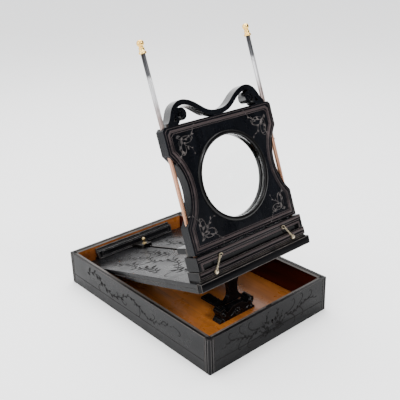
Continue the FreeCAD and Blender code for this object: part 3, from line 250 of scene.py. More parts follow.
def handled(make, join, place, cloud_scale=18.0):
    """The smears and specks that handling leaves, on a material's own place."""
    marks = make("ShaderNodeGroup")
    marks.node_tree = HANDLING
    marks.inputs["Cloud scale"].default_value = cloud_scale
    join(place, marks.inputs["Vector"])
    return marks.outputs["Cloud"], marks.outputs["Speck"]


def wood(name, dark, bright, along, rough=(0.2, 0.4), bump=0.08, coat=0.4, fibre=260.0,
         figure=24.0, contrast=(0.35, 0.7), dust=0.0, tilt=0.0, shine=0.5, painted_shade=None):
    """Polished wood with grain along one axis, turned by tilt about X."""
    material, make, join, shader = blank(name, Coat_Weight=coat, Coat_Roughness=0.12,
                                         Specular_IOR_Level=shine)
    place = make("ShaderNodeTexCoord").outputs["Object"]
    turned = make("ShaderNodeMapping")
    turned.inputs["Rotation"].default_value = (math.radians(tilt), 0, 0)
    join(place, turned.inputs["Vector"])
    drawn = make("ShaderNodeMapping")
    drawn.inputs["Scale"].default_value = STRETCH[along]
    join(turned.outputs["Vector"], drawn.inputs["Vector"])
    grain = make("ShaderNodeGroup")
    grain.node_tree = GRAIN
    grain.inputs["Fibre scale"].default_value = fibre
    grain.inputs["Figure scale"].default_value = figure
    join(drawn.outputs["Vector"], grain.inputs["Vector"])
    cloud, speck = handled(make, join, place)
    tone = blended(make, join, ranged(make, join, grain.outputs["Figure"], contrast), dark, bright)
    streak = ranged(make, join, grain.outputs["Fibre"], (0.45, 0.75), (0.0, 0.7))
    tone = blended(make, join, streak, tone, (0.45, 0.42, 0.40), "MULTIPLY")
    # Painted shade: the tone is scaled down along X, from full at one place to a given share at another.
    if painted_shade:
        start, end, least = painted_shade
        split = make("ShaderNodeSeparateXYZ")
        join(place, split.inputs["Vector"])
        painted_shade_scale = make("ShaderNodeVectorMath")
        painted_shade_scale.operation = "SCALE"
        join(tone, painted_shade_scale.inputs[0])
        join(ranged(make, join, split.outputs["X"], (start, end), (1.0, least)), painted_shade_scale.inputs["Scale"])
        tone = painted_shade_scale.outputs["Vector"]
    settled = reckoned(make, join, "MULTIPLY", speck, dust)
    join(blended(make, join, settled, tone, (0.32, 0.30, 0.28)), shader.inputs["Base Color"])
    join(ranged(make, join, cloud, (0.3, 0.7), rough), shader.inputs["Roughness"])
    raised = make("ShaderNodeBump")
    raised.inputs["Strength"].default_value = bump
    raised.inputs["Distance"].default_value = 0.0004
    depth = reckoned(make, join, "SUBTRACT", grain.outputs["Fibre"], grain.outputs["Pore"])
    join(depth, raised.inputs["Height"])
    join(raised.outputs["Normal"], shader.inputs["Normal"])
    return material


BLACK = (0.0014, 0.0015, 0.0019)
SOFT_BLACK = (0.0052, 0.0051, 0.0058)
ebony_x = wood("ebony_across", BLACK, SOFT_BLACK, "x", coat=0.0, dust=0.10, shine=0.09)
ebony_y = wood("ebony_lengthwise", BLACK, SOFT_BLACK, "y", coat=0.0, dust=0.10, shine=0.11)
ebony_z = wood("ebony_upright", BLACK, SOFT_BLACK, "z", coat=0.0, dust=0.08, shine=0.11)
rubbed = wood("rubbed_edge", (0.014, 0.012, 0.011), (0.060, 0.051, 0.045), "y", rough=(0.3, 0.5),
              figure=60.0, coat=0.0, shine=0.25)
rim_strip = wood("rim_strip", (0.030, 0.025, 0.022), (0.080, 0.068, 0.060), "y", rough=(0.35, 0.5),
                 coat=0.0, shine=0.2)
stained_x = wood("stained_across", (0.12, 0.027, 0.006), (0.38, 0.12, 0.027), "x", fibre=180.0,
                 contrast=(0.3, 0.65), coat=0.1, shine=0.3)
# The side boards' inner faces take a far darker red-brown than the front and back: painted shade.
stained_painted_shade = wood("stained_painted_shade", (0.016, 0.0012, 0.0008), (0.055, 0.0050, 0.0025), "y", fibre=180.0,
                    coat=0.1, shine=0.12)


def cast(form, name):
    """Turn a worked form into a named mesh."""
    mesh = bpy.data.meshes.new(name)
    form.to_mesh(mesh)
    form.free()
    return mesh


def shaded(mesh, crease):
    """Smooth shading that keeps the edges sharper than a crease, in degrees."""
    mesh.polygons.foreach_set("use_smooth", [True] * len(mesh.polygons))
    mesh.set_sharp_from_angle(angle=math.radians(crease))


def standing(name, mesh):
    """An object for a finished mesh."""
    piece = bpy.data.objects.new(name, mesh)
    bpy.context.scene.collection.objects.link(piece)
    return piece


WELD = 2e-6


def softened(node, name, width, plain, edge, choose=None):
    """A copy of a board with its sharp corners eased and the easing rubbed lighter."""
    form = bmesh.new()
    form.from_mesh(nodes[node].data)
    bmesh.ops.remove_doubles(form, verts=form.verts, dist=WELD)
    bmesh.ops.dissolve_limit(form, angle_limit=math.radians(0.6), verts=form.verts, edges=form.edges)
    for face in form.faces:
        face.material_index = choose(face) if choose else 0
    corners = [
        e for e in form.edges
        if len(e.link_faces) == 2 and e.calc_face_angle(0) > math.radians(32)
    ]
    bmesh.ops.bevel(
        form, geom=corners, offset=width, offset_type="OFFSET", segments=2,
        profile=0.5, affect="EDGES", clamp_overlap=True, material=len(plain),
    )
    mesh = cast(form, name)
    for material in (*plain, edge):
        mesh.materials.append(material)
    shaded(mesh, 20)
    return standing(name, mesh)


def seat(piece, body, slot, *replaced):
    """Give a finished piece its body and hide the nodes it stands for; the slot is not used."""
    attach(piece, body)
    if replaced:
        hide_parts(*replaced)


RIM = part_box("box_wall_left")[1].z
STEP_DEPTH = 0.0015


def wall_faces(inward):
    """Outside black, inner face stained, inner part of the rim grey-brown."""
    def pick(face):
        below = RIM - face.calc_center_median().z
        if face.normal.dot(Vector(inward)) > 0.9 and below > STEP_DEPTH + 0.001:
            return 1
        if face.normal.z > 0.9 and below > STEP_DEPTH / 3:
            return 2
        return 0
    return pick


WALLS = {
    "front": ("box_wall_front", (0, 1, 0), ebony_x, stained_x),
    "back": ("box_wall_back", (0, -1, 0), ebony_x, stained_x),
    "left": ("box_wall_left", (1, 0, 0), ebony_y, stained_painted_shade),
    "right": ("box_wall_right", (-1, 0, 0), ebony_y, stained_painted_shade),
}
for side, (node, inward, outer, inner) in WALLS.items():
    wall = softened(node, "wall_" + side, 0.0006, [outer, inner, rim_strip], rubbed,
                    wall_faces(inward))
    seat(wall, "box", "ebonised_wood", node)

# ------------------------------------------------------------------ floor
# A thin board let in between the walls, stained warm and polished; its tone is darkened towards the
# right as painted shade.
stained_y = wood("stained_lengthwise", (0.26, 0.066, 0.012), (0.80, 0.275, 0.052), "y", fibre=180.0,
                 contrast=(0.1, 0.85), coat=0.2, shine=0.35, painted_shade=(-0.08, 0.06, 0.42))
floor_board = softened("box_floor", "floor_board", 0.0003, [stained_y], stained_y)
seat(floor_board, "box", "stained_wood", "box_floor")

# ------------------------------------------------------------------ corner posts
# Square posts of black polished wood with eased outer corners; narrow grooves
# are run down them beside each wall and again a little way in.
# The grooves' faces get a darker, duller black than the posts: painted shade in the recesses.
groove_painted_shade = wood("groove_painted_shade", (0.0008, 0.0008, 0.0008), (0.003, 0.003, 0.003), "z",
                   rough=(0.6, 0.8), coat=0.0, shine=0.02)
HALF_WIDTH, HALF_LENGTH, _ = cad_box[1]
CORNER_EASE = 0.0026


def in_groove(face):
    """The cut grooves' faces look aside among the flats; the eased corner doesn't count."""
    n = face.normal
    at = face.calc_center_median()
    if abs(n.z) > 0.1 or max(abs(n.x), abs(n.y)) > 0.999:
        return 0
    eased = abs(at.x) > HALF_WIDTH - CORNER_EASE and abs(at.y) > HALF_LENGTH - CORNER_EASE
    return 0 if eased else 1


for corner in ("front_left", "front_right", "back_left", "back_right"):
    post = softened("box_corner_" + corner, "post_" + corner, 0.00035, [ebony_z, groove_painted_shade],
                    rubbed, in_groove)
    seat(post, "box", "ebonised_wood", "box_corner_" + corner)

# ------------------------------------------------------------------ prop
# A scroll-cut strut hinged under the platform; it stands on a scrolled base
# with a notched rack behind, all in dark polished wood.
for node, body, width in (
    ("prop_base", "box", 0.0008),
    ("prop_rack", "box", 0.0005),
    ("prop_strut", "prop", 0.0007),
):
    cut = softened(node, node + "_polished", width, [ebony_z], rubbed)
    seat(cut, body, "ebonised_wood", node)

# ------------------------------------------------------------------ platform
# A thin black board with a long slot, stiffened by side aprons and an end board.
PLATFORM_TILT = 16.1
ebony_board = wood("ebony_board", BLACK, SOFT_BLACK, "y", rough=(0.16, 0.36), coat=0.0,
                   tilt=PLATFORM_TILT, dust=0.12, bump=0.3, shine=0.12)
ebony_rail = wood("ebony_rail", BLACK, SOFT_BLACK, "x", rough=(0.12, 0.26), coat=0.0, dust=0.05,
                  shine=0.08)
for node in ("platform_board", "platform_apron_left", "platform_apron_right"):
    board = softened(node, node + "_polished", 0.0005, [ebony_board], rubbed)
    seat(board, "platform", "ebonised_wood", node)
ebony_end = wood("ebony_end", BLACK, SOFT_BLACK, "x", rough=(0.1, 0.2), coat=0.0, dust=0.02,
                 shine=0.03)
end_board = softened("platform_end_board", "end_board_polished", 0.0006, [ebony_end], rubbed)
seat(end_board, "platform", "ebonised_wood", "platform_end_board")
for node, body in (
    ("plinth", "platform"),
    ("lens_rail", "lens_frame"),
    ("holder_rail", "holder"),
):
    rail = softened(node, node + "_polished", 0.0006, [ebony_rail], rubbed)
    seat(rail, body, "ebonised_wood", node)

# ------------------------------------------------------------------ lens panel
# A waisted black panel carrying the lens in a turned black ring.
LENS_LEAN = 19.3
joints = {joint["name"]: joint for joint in frame["joints"]}
ACROSS = Vector((1, 0, 0))
UP = Vector(joints["lens_slide"]["axis"])
BACK = UP.cross(ACROSS)
ebony_panel = wood("ebony_panel", (0.0012, 0.0015, 0.0024), (0.004, 0.0046, 0.0064), "z",
                   rough=(0.2, 0.36), coat=0.0, bump=0.2, dust=0.10, tilt=LENS_LEAN, shine=0.09)
ebony_crest = wood("ebony_crest", BLACK, SOFT_BLACK, "z", rough=(0.16, 0.3), coat=0.4, dust=0.1,
                   tilt=LENS_LEAN)
panel = softened("lens_panel", "waisted_panel", 0.0007, [ebony_panel], rubbed)
seat(panel, "lens_panel", "ebonised_wood", "lens_panel")
crest = softened("pediment", "scrolled_pediment", 0.0008, [ebony_panel, ebony_crest], rubbed,
                 lambda face: 0 if abs(face.normal.dot(BACK)) > 0.9 else 1)
seat(crest, "lens_panel", "ebonised_wood", "pediment")
flap = softened("stereo_board", "small_lens_board", 0.0006, [ebony_rail], rubbed)
seat(flap, "stereo_flap", "ebonised_wood", "stereo_board")


def dress(material, *names):
    """Put one material on CAD nodes whose shape is already right."""
    for name in names:
        mesh = nodes[name].data
        mesh.materials.clear()
        mesh.materials.append(material)


bezel_black = wood("bezel_black", (0.002, 0.002, 0.0022), (0.005, 0.005, 0.005), "z",
                   rough=(0.1, 0.2), coat=0.0, shine=0.16)
dress(bezel_black, "lens_bezel", "lens_retaining_ring")


def wiped_glass(name):
    """Clear glass with the faint smears that wiping leaves."""
    material, make, join, shader = blank(name, Transmission_Weight=1.0, IOR=1.5,
                                         Base_Color=(0.985, 0.995, 0.99, 1))
    cloud, _ = handled(make, join, make("ShaderNodeTexCoord").outputs["Object"], 30.0)
    join(ranged(make, join, cloud, (0.45, 0.8), (0.0, 0.07)), shader.inputs["Roughness"])
    return material


clear = wiped_glass("clear_glass")
dress(clear, "lens_glass", "stereo_lens_left", "stereo_lens_right")

# ------------------------------------------------------------------ metal fittings
# Gilt finials, drawn steel rods, worn brass hooks and dull brass hinges, all
# bought in and screwed on; the small iron pieces are japanned black.


def metal(name, dark, bright, rough, scale=60.0):
    """Polished metal with cloudy tarnish."""
    material, make, join, shader = blank(name, Metallic=1.0)
    cloud, _ = handled(make, join, make("ShaderNodeTexCoord").outputs["Object"], scale)
    tarnish = ranged(make, join, cloud, (0.35, 0.62))
    join(blended(make, join, tarnish, dark, bright), shader.inputs["Base Color"])
    join(ranged(make, join, tarnish, (0.0, 1.0), rough[::-1]), shader.inputs["Roughness"])
    return material


gilt = metal("finial_brass", (0.72, 0.38, 0.07), (0.92, 0.62, 0.18), (0.15, 0.32))
worn_brass = metal("worn_brass", (0.26, 0.20, 0.12), (0.66, 0.58, 0.43), (0.22, 0.42), 260.0)
dull_brass = metal("dull_brass", (0.10, 0.07, 0.035), (0.36, 0.27, 0.13), (0.3, 0.55), 90.0)
dull_steel = metal("dull_steel", (0.03, 0.028, 0.026), (0.14, 0.13, 0.12), (0.3, 0.5))
japanned = metal("japanned_iron", (0.012, 0.011, 0.010), (0.05, 0.045, 0.04), (0.25, 0.45), 150.0)


def drawn_rod(name, foot, top):
    """Bright drawn steel in colour bands along its length: dark at the top, then a pale silver band of
    painted reflection, then pinkish brown down to the foot.
    """
    material, make, join, shader = blank(name, Metallic=1.0)
    place = make("ShaderNodeTexCoord").outputs["Object"]
    split = make("ShaderNodeSeparateXYZ")
    join(place, split.inputs["Vector"])
    cloud, _ = handled(make, join, place, 70.0)
    ragged = reckoned(make, join, "MULTIPLY_ADD", cloud, 0.03, split.outputs["Z"])
    bands = make("ShaderNodeValToRGB")
    stops = bands.color_ramp.elements
    stops[0].position = 0.0
    stops[0].color = (0.34, 0.17, 0.10, 1)
    stops[1].position = 1.0
    stops[1].color = (0.03, 0.03, 0.033, 1)
    # The stops at 0.78 and 0.85 are the pale silver band: a painted reflection.
    for at, shade in (
        (0.45, (0.44, 0.23, 0.15)), (0.56, (0.24, 0.16, 0.13)), (0.70, (0.26, 0.21, 0.20)),
        (0.78, (0.52, 0.52, 0.53)), (0.85, (0.46, 0.46, 0.47)), (0.875, (0.06, 0.06, 0.064)),
    ):
        stops.new(at).color = (*shade, 1)
    join(ranged(make, join, ragged, (foot, top)), bands.inputs["Fac"])
    join(bands.outputs["Color"], shader.inputs["Base Color"])
    join(ranged(make, join, cloud, (0.0, 1.0), (0.18, 0.42)), shader.inputs["Roughness"])
    return material


rod_steel = drawn_rod("rod_steel", foot=0.155, top=0.445)


def turned_copy(node, body, slot, material, crease=28.0):
    """A smooth-shaded copy of a turned or bent fitting."""
    form = bmesh.new()
    form.from_mesh(nodes[node].data)
    bmesh.ops.remove_doubles(form, verts=form.verts, dist=WELD)
    mesh = cast(form, node + "_finished")
    mesh.materials.append(material)
    shaded(mesh, crease)
    seat(standing(node + "_finished", mesh), body, slot, node)


for side in ("left", "right"):
    turned_copy("finial_" + side, "lens_frame", "finial_brass", gilt)
    turned_copy("rod_" + side, "lens_frame", "rod_steel", rod_steel)
    turned_copy("hook_" + side, "hook_" + side, "hook_brass", worn_brass, 35.0)
    turned_copy("stereo_lens_" + side, "stereo_flap", "lens_glass", clear)
    turned_copy("stereo_ring_" + side, "stereo_flap", "fittings_brass", dull_brass)
turned_copy("clamp_knob", "knob", "fittings_brass", dull_brass)
turned_copy("lens_glass", "lens_panel", "lens_glass", clear)
turned_copy("lens_bezel", "lens_panel", "ebonised_wood", bezel_black, 50.0)
turned_copy("lens_retaining_ring", "lens_panel", "ebonised_wood", bezel_black)
dress(worn_brass, "hook_screw_left", "hook_screw_right", "hook_stud_left", "hook_stud_right")
dress(dull_steel, "lock_case")
dress(dull_brass, *[n for n in nodes if "hinge" in n], "clamp_stud")
dress(japanned, "holder_tongue", "stereo_bracket_left", "stereo_bracket_right")

# ------------------------------------------------------------------ carving
# Leaf scrolls and lines are cut by hand into the ebonised faces; the tool marks
# are modelled as fine ridges and leaves lying a few tenths proud of each face.


def plane(origin, across, up, out):
    """A frame for drawing on a face: across, up along the face, and outward."""
    grid = Matrix.Identity(4)
    for column, axis in enumerate((across, up, out, origin)):
        for row in range(3):
            grid[row][column] = axis[row]
    return grid


SLOPE = -Vector(joints["holder_slide"]["axis"])
RISE = Vector(joints["knob_turn"]["axis"])
PLATFORM_FOOT = Vector((0, -0.14941, 0.12540))
LENS_FOOT = Vector((0, -0.13361, 0.15930))
RAIL_PROUD = 0.005
LENS_FRONT = plane(LENS_FOOT, ACROSS, UP, -BACK)
RAIL_FRONT = plane(LENS_FOOT - BACK * RAIL_PROUD, ACROSS, UP, -BACK)
BOARD_TOP = plane(PLATFORM_FOOT, ACROSS, SLOPE, RISE)
LEFT_FACE = plane((-HALF_WIDTH, 0, 0), (0, -1, 0), (0, 0, 1), (-1, 0, 0))
FRONT_FACE = plane((0, -HALF_LENGTH, 0), (1, 0, 0), (0, 0, 1), (0, -1, 0))
RIGHT_FACE = plane((HALF_WIDTH, 0, 0), (0, 1, 0), (0, 0, 1), (1, 0, 0))
BACK_FACE = plane((0, HALF_LENGTH, 0), (-1, 0, 0), (0, 0, 1), (0, 1, 0))


def flow(points, steps=6):
    """A smooth line through a few points (millimetres)."""
    spots = [Vector((*p, 0)) for p in points]
    spots = [2 * spots[0] - spots[1]] + spots + [2 * spots[-1] - spots[-2]]
    line = []
    for i in range(1, len(spots) - 2):
        p0, p1, p2, p3 = spots[i - 1:i + 3]
        for k in range(steps):
            s = k / steps
            line.append(0.5 * (2 * p1 + (p2 - p0) * s + (2 * p0 - 5 * p1 + 4 * p2 - p3) * s * s
                               + (3 * p1 - p0 - 3 * p2 + p3) * s ** 3))
    line.append(spots[-2])
    return [(p.x, p.y) for p in line]


def curl(x, y, heading, reach, turn):
    """A tendril: leaves a point along a heading, then winds up into a small coil."""
    line = [(x, y)]
    angle = math.radians(heading)
    steps = 30
    for k in range(steps):
        share = k / steps
        bend = turn * (0.35 + 3.2 * share ** 1.6)
        angle += math.radians(bend * 360 / steps / 2.2)
        pace = reach / steps * (1.5 - 1.05 * share)
        x += math.cos(angle) * pace
        y += math.sin(angle) * pace
        line.append((x, y))
    return line


def moulding(line, section, closed=False, taper=(1.0, 1.0)):
    """Sweep a section of (across, out) points along a drawn line, mitred at corners."""
    count = len(line)
    verts = []
    for i, (x, y) in enumerate(line):
        before = Vector(line[i - 1]) if (closed or i) else Vector((x, y))
        after = Vector(line[(i + 1) % count]) if (closed or i < count - 1) else Vector((x, y))
        here = Vector((x, y))
        a = (here - before).normalized() if (here - before).length else (after - here).normalized()
        b = (after - here).normalized() if (after - here).length else a
        side = Vector((-(a + b).y, (a + b).x)).normalized()
        miter = 1.0 / max(0.5, side.dot(Vector((-a.y, a.x))))
        share = i / max(1, count - 1)
        grown = 1.0
        if not closed:
            start, end = taper
            grown = min(1.0, start + (1 - start) * share * 6, end + (1 - end) * (1 - share) * 3)
        for across, out in section:
            off = side * across * miter * grown
            verts.append(((x + off.x) / 1000, (y + off.y) / 1000, out * grown / 1000))
    wide = len(section)
    faces = []
    for i in range(count if closed else count - 1):
        j = (i + 1) % count
        for k in range(wide):
            m = (k + 1) % wide
            faces.append((i * wide + m, i * wide + k, j * wide + k, j * wide + m))
    if not closed:
        faces.append(tuple(range(wide)))
        faces.append(tuple(reversed(range((count - 1) * wide, count * wide))))
    return verts, faces


def ridge(width, height):
    """Half-round section whose foot is let into the face (millimetres)."""
    return [(-width / 2, -0.15), (-width / 2, 0.0), (-width * 0.34, height * 0.7), (0, height),
            (width * 0.34, height * 0.7), (width / 2, 0.0), (width / 2, -0.15)]


def outward(mesh):
    """Turn every face of a closed mesh to point outwards."""
    form = bmesh.new()
    form.from_mesh(mesh)
    bmesh.ops.recalc_face_normals(form, faces=form.faces)
    form.to_mesh(mesh)
    form.free()


def collected(name, shapes, material, grid, crease):
    """Join loose shapes drawn on one face into a mesh set on that face."""
    verts = []
    faces = []
    for more_verts, more_faces in shapes:
        start = len(verts)
        verts.extend(more_verts)
        faces.extend(tuple(v + start for v in face) for face in more_faces)
    mesh = bpy.data.meshes.new(name)
    mesh.from_pydata([grid @ Vector(v) for v in verts], [], faces)
    mesh.materials.append(material)
    outward(mesh)
    shaded(mesh, crease)
    return mesh


def leaf_blank():
    """One carved leaf, a unit long: two swelling lobes either side of a sunk rib."""
    verts = []
    stations = 7
    for i in range(stations):
        share = i / (stations - 1)
        swell = math.sin(math.pi * share)
        half = 0.23 * math.sin(math.pi * min(1.0, share ** 0.8)) + 0.012
        lobe = 0.055 * swell + 0.006
        for across, out in ((-1, -0.02), (-0.55, lobe), (0, lobe * 0.25), (0.55, lobe), (1, -0.02)):
            verts.append((share, across * half + 0.05 * swell, out))
    faces = [tuple(range(5)), tuple(range(5 * stations - 5, 5 * stations))]
    for at in range(0, 5 * stations - 5, 5):
        faces += [(at + k, at + k + 5, at + (k + 1) % 5 + 5, at + (k + 1) % 5) for k in range(5)]
    mesh = bpy.data.meshes.new("leaf_blank")
    mesh.from_pydata(verts, [], faces)
    outward(mesh)
    return bpy.data.objects.new("leaf_blank", mesh)


def scattered(make, join, entry, leave, points, form, turn, scale):
    """Set a form on every point, turned and sized, as plain mesh with its finish."""
    source = make("GeometryNodeObjectInfo")
    join(form, source.inputs["Object"])
    pose = make("ShaderNodeCombineXYZ")
    join(turn, pose.inputs["Z"])
    laid = make("GeometryNodeInstanceOnPoints")
    join(points, laid.inputs["Points"])
    join(source.outputs["Geometry"], laid.inputs["Instance"])
    join(pose.outputs["Vector"], laid.inputs["Rotation"])
    join(scale, laid.inputs["Scale"])
    real = make("GeometryNodeRealizeInstances")
    join(laid.outputs["Instances"], real.inputs["Geometry"])
    coat = make("GeometryNodeSetMaterial")
    join(real.outputs["Geometry"], coat.inputs["Geometry"])
    join(entry.outputs["Material"], coat.inputs["Material"])
    join(coat.outputs["Geometry"], leave.inputs[0])


def at_random(make, join, seed, low, high):
    """A number between two limits, different on every point."""
    drawn = make("FunctionNodeRandomValue")
    drawn.data_type = "FLOAT"
    drawn.inputs["Min"].default_value = low
    drawn.inputs["Max"].default_value = high
    join(seed, drawn.inputs["Seed"])
    return drawn.outputs["Value"]


def leafing_group():
    """Leaves set alternately along stems, shrinking towards each tip."""
    group, make, join, entry, leave = new_group("leafing", "GeometryNodeTree", [
        ("Stems", "Geometry"), ("Leaf", "Object"), ("Spacing", "Float"), ("Leaf length", "Float"),
        ("Spread", "Float"), ("Seed", "Int"), ("Material", "Material"),
    ], [("Leaves", "Geometry")])
    spaced = make("GeometryNodeResampleCurve")
    spaced.mode = "LENGTH"
    join(entry.outputs["Stems"], spaced.inputs["Curve"])
    join(entry.outputs["Spacing"], spaced.inputs["Length"])
    split = make("ShaderNodeSeparateXYZ")
    join(make("GeometryNodeInputTangent").outputs["Tangent"], split.inputs["Vector"])
    heading = reckoned(make, join, "ARCTAN2", split.outputs["Y"], split.outputs["X"])
    halves = reckoned(make, join, "MODULO", make("GeometryNodeInputIndex").outputs["Index"], 2.0)
    side = reckoned(make, join, "MULTIPLY_ADD", halves, 2.0, -1.0)
    loose = at_random(make, join, entry.outputs["Seed"], 0.75, 1.25)
    angle = reckoned(make, join, "MULTIPLY", entry.outputs["Spread"], loose)
    turned = reckoned(make, join, "MULTIPLY_ADD", angle, side, heading)
    along = make("GeometryNodeSplineParameter").outputs["Factor"]
    fading = ranged(make, join, along, (0.0, 1.0), (1.0, 0.5))
    sized = reckoned(make, join, "MULTIPLY", entry.outputs["Leaf length"], fading)
    varied = reckoned(make, join, "MULTIPLY", sized, loose)
    scattered(make, join, entry, leave, spaced.outputs["Curve"], entry.outputs["Leaf"], turned, varied)
    return group


LEAF = leaf_blank()
LEAFING = leafing_group()


def run_group(holder, group, values):
    """Run a geometry group on a holder object and hand back a plain mesh."""
    bpy.context.scene.collection.objects.link(holder)
    step = holder.modifiers.new("made", "NODES")
    step.node_group = group
    for item in group.interface.items_tree:
        if item.item_type == "SOCKET" and item.in_out == "INPUT" and item.name in values:
            step[item.identifier] = values[item.name]
    holder.update_tag()
    graph = bpy.context.evaluated_depsgraph_get()
    graph.update()
    mesh = bpy.data.meshes.new_from_object(holder.evaluated_get(graph), depsgraph=graph)
    holder.modifiers.remove(step)
    bpy.data.objects.remove(holder)
    return mesh


def leaves(lines, spacing, length, spread, seed, material):
    """Leaves along drawn stems, as a mesh still flat on its face."""
    data = bpy.data.curves.new("stems", "CURVE")
    data.dimensions = "3D"
    for line in lines:
        spline = data.splines.new("POLY")
        spline.points.add(len(line) - 1)
        for point, (x, y) in zip(spline.points, line):
            point.co = (x / 1000, y / 1000, 0, 1)
    holder = bpy.data.objects.new("stems", data)
    return run_group(holder, LEAFING, {
        "Leaf": LEAF, "Spacing": spacing / 1000, "Leaf length": length / 1000,
        "Spread": math.radians(spread), "Seed": seed, "Material": material,
    })


def carved(name, body, grid, stems, tendrils, tone, width=0.9, height=0.3, leaf=8.0, gap=5.5,
           spread=48.0, seed=3, bare=(), relief=1.0):
    """A worked pattern on one face: leafy stems, bare tendrils and plain lines."""
    shapes = [moulding(line, ridge(width, height), taper=(0.5, 0.15)) for line in stems + tendrils]
    shapes += [moulding(line, ridge(width * 0.8, height)) for line in bare]
    mesh = collected(name, shapes, tone, grid, 35.0)
    if stems:
        green = leaves(stems, gap, leaf, spread, seed, tone)
        green.transform(grid @ Matrix.Diagonal((1, 1, relief, 1)))
        form = bmesh.new()
        form.from_mesh(mesh)
        form.from_mesh(green)
        form.to_mesh(mesh)
        form.free()
    shaded(mesh, 30)
    seat(standing(name, mesh), body, "ebonised_wood")


carved_dark = wood("carved_dark", (0.002, 0.002, 0.002), (0.008, 0.007, 0.007), "y",
                   rough=(0.5, 0.75), coat=0.0, shine=0.05)

# ------------------------------------------------------------------ wall carving
# A running leaf scroll down each long wall, a spray round the keyhole with two
# scrolls beside it, and one plain line along the lower third all round.


def both_sides(lines):
    """Lines on one side of the middle, and the same again on the other."""
    return lines + [[(-x, y) for x, y in line] for line in lines]


vine = flow([(-128, 40), (-104, 47), (-80, 36), (-56, 27), (-30, 33), (-6, 45), (20, 38), (46, 27),
             (74, 33), (104, 42)])
vine_arms = [
    curl(-104, 46, 20, 26, -1.0), curl(-80, 36, 190, 30, 1.1), curl(-56, 27, -10, 30, 1.1),
    curl(-30, 33, -60, 24, 1.0), curl(-6, 45, 10, 26, -1.1), curl(20, 38, -70, 30, -1.1),
    curl(46, 27, 10, 26, 1.1), curl(74, 33, 60, 22, -1.0), curl(104, 42, 10, 26, -1.1),
]
side_line = [(-171, 18.5), (171, 18.5)]
for name, grid in (("left", LEFT_FACE), ("right", RIGHT_FACE)):
    carved("wall_scroll_" + name, "box", grid, [vine], vine_arms, carved_dark, width=1.4, leaf=9.5,
           gap=7.4, spread=38.0, seed=5, bare=[side_line])

spray = [
    flow([(-7, 25), (-12, 25), (-18, 30), (-21, 40)]), flow([(-7, 30), (-11, 36), (-12, 43), (-10, 50)]),
    flow([(-7, 24), (-14, 20), (-22, 23), (-27, 31)]), flow([(-3, 20), (-8, 16), (-15, 14), (-22, 16)]),
    flow([(-28, 33), (-44, 27), (-62, 33), (-82, 38), (-98, 33)]),
]
scrolls = [
    curl(-32, 33, 170, 36, -1.15), curl(-34, 31, 200, 38, 1.0), curl(-58, 37, 150, 26, -1.0),
    curl(-62, 30, 215, 24, 1.1), curl(-80, 36, 150, 24, -1.1),
]
front_line = [(-113, 18.5), (113, 18.5)]
carved("keyhole_spray", "box", FRONT_FACE, both_sides(spray), both_sides(scrolls), carved_dark,
       width=1.6, leaf=7.5, gap=4.6, spread=30.0, seed=9, bare=[front_line])
carved("back_scrolls", "box", BACK_FACE, [], both_sides(scrolls), carved_dark, width=1.2,
       bare=[front_line])

# ------------------------------------------------------------------ post reeds
# Slender upright reeds stand between the grooves of each corner post.
reed_worn = wood("reed_worn", (0.010, 0.009, 0.0095), (0.042, 0.037, 0.037), "z",
                 rough=(0.25, 0.45), coat=0.0, shine=0.2)
REED_FOOT, REED_TOP = 1.2, 56.4


def worked(name, body, shapes, tone, grid, crease=35.0):
    """Shapes worked on one face of a wooden body, as one piece."""
    seat(standing(name, collected(name, shapes, tone, grid, crease)), body, "ebonised_wood")


for name, grid, half in (
    ("left", LEFT_FACE, HALF_LENGTH), ("right", RIGHT_FACE, HALF_LENGTH),
    ("front", FRONT_FACE, HALF_WIDTH), ("back", BACK_FACE, HALF_WIDTH),
):
    reeds = []
    for side in (-1, 1):
        for inset in (7.4, 3.2):
            at = side * (half * 1000 - inset)
            reeds.append(moulding([(at, REED_FOOT), (at, REED_TOP)], ridge(1.3, 0.35)))
    worked("post_reeds_" + name, "box", reeds, reed_worn, grid)

# ------------------------------------------------------------------ panel border and sprays
# The panel's face is framed by a raised bead that follows its waisted outline;
# a leaf spray fills each corner between the bead and the lens.


def waisted(inset, low, high):
    """The panel's outline drawn in by an inset, as one closed line (millimetres)."""
    ear = 103.0 - inset
    middle = 91.0
    chord, sag, least = 51.0, 18.5, 84.5
    waist_radius = (chord ** 2 + sag ** 2) / (2 * sag)
    centre = least + waist_radius
    swing = waist_radius + inset
    half = math.acos((centre - ear) / swing)
    side = []
    for k in range(21):
        angle = half - 2 * half * k / 20
        side.append((centre - swing * math.cos(angle), middle - swing * math.sin(angle)))
    right = [(ear, low)] + side + [(ear, high - 4.0), (ear - 4.0, high)]
    left = [(-x, y) for x, y in reversed(right)]
    return right + left


bead_worn = wood("bead_worn", (0.013, 0.009, 0.0095), (0.048, 0.035, 0.035), "x",
                 rough=(0.3, 0.5), coat=0.0, shine=0.15)
border = [
    moulding(waisted(8.2, 7.2, 171.8), ridge(3.6, 0.8), closed=True),
    moulding(waisted(11.6, 10.6, 168.4), ridge(1.0, 0.45), closed=True),
    moulding(waisted(3.4, 2.8, 176.4), ridge(1.0, 0.4), closed=True),
]
worked("panel_border", "lens_panel", border, bead_worn, LENS_FRONT)


def corner_spray(x, y, turn, size):
    """Stems and tendrils fanning from a corner, turned towards the lens."""
    def laid(line):
        c = math.cos(math.radians(turn))
        s = math.sin(math.radians(turn))
        return [(x + (u * c - v * s) * size, y + (u * s + v * c) * size) for u, v in line]
    stems = [
        flow([(0, 0), (8, 1.5), (16, 0), (24, 2), (31, 0)]),
        flow([(7, 1), (12, 6), (16, 13), (17, 21), (15, 27)]),
        flow([(7, 1), (12, -5), (16, -12), (17, -20), (15, -26)]),
    ]
    arms = [
        curl(5, 1, 68, 25, -1.0), curl(5, 0, -68, 25, 1.0),
        curl(13, 1, 30, 21, 1.0), curl(13, 1, -30, 21, -1.0),
    ]
    return [laid(line) for line in stems], [laid(line) for line in arms]


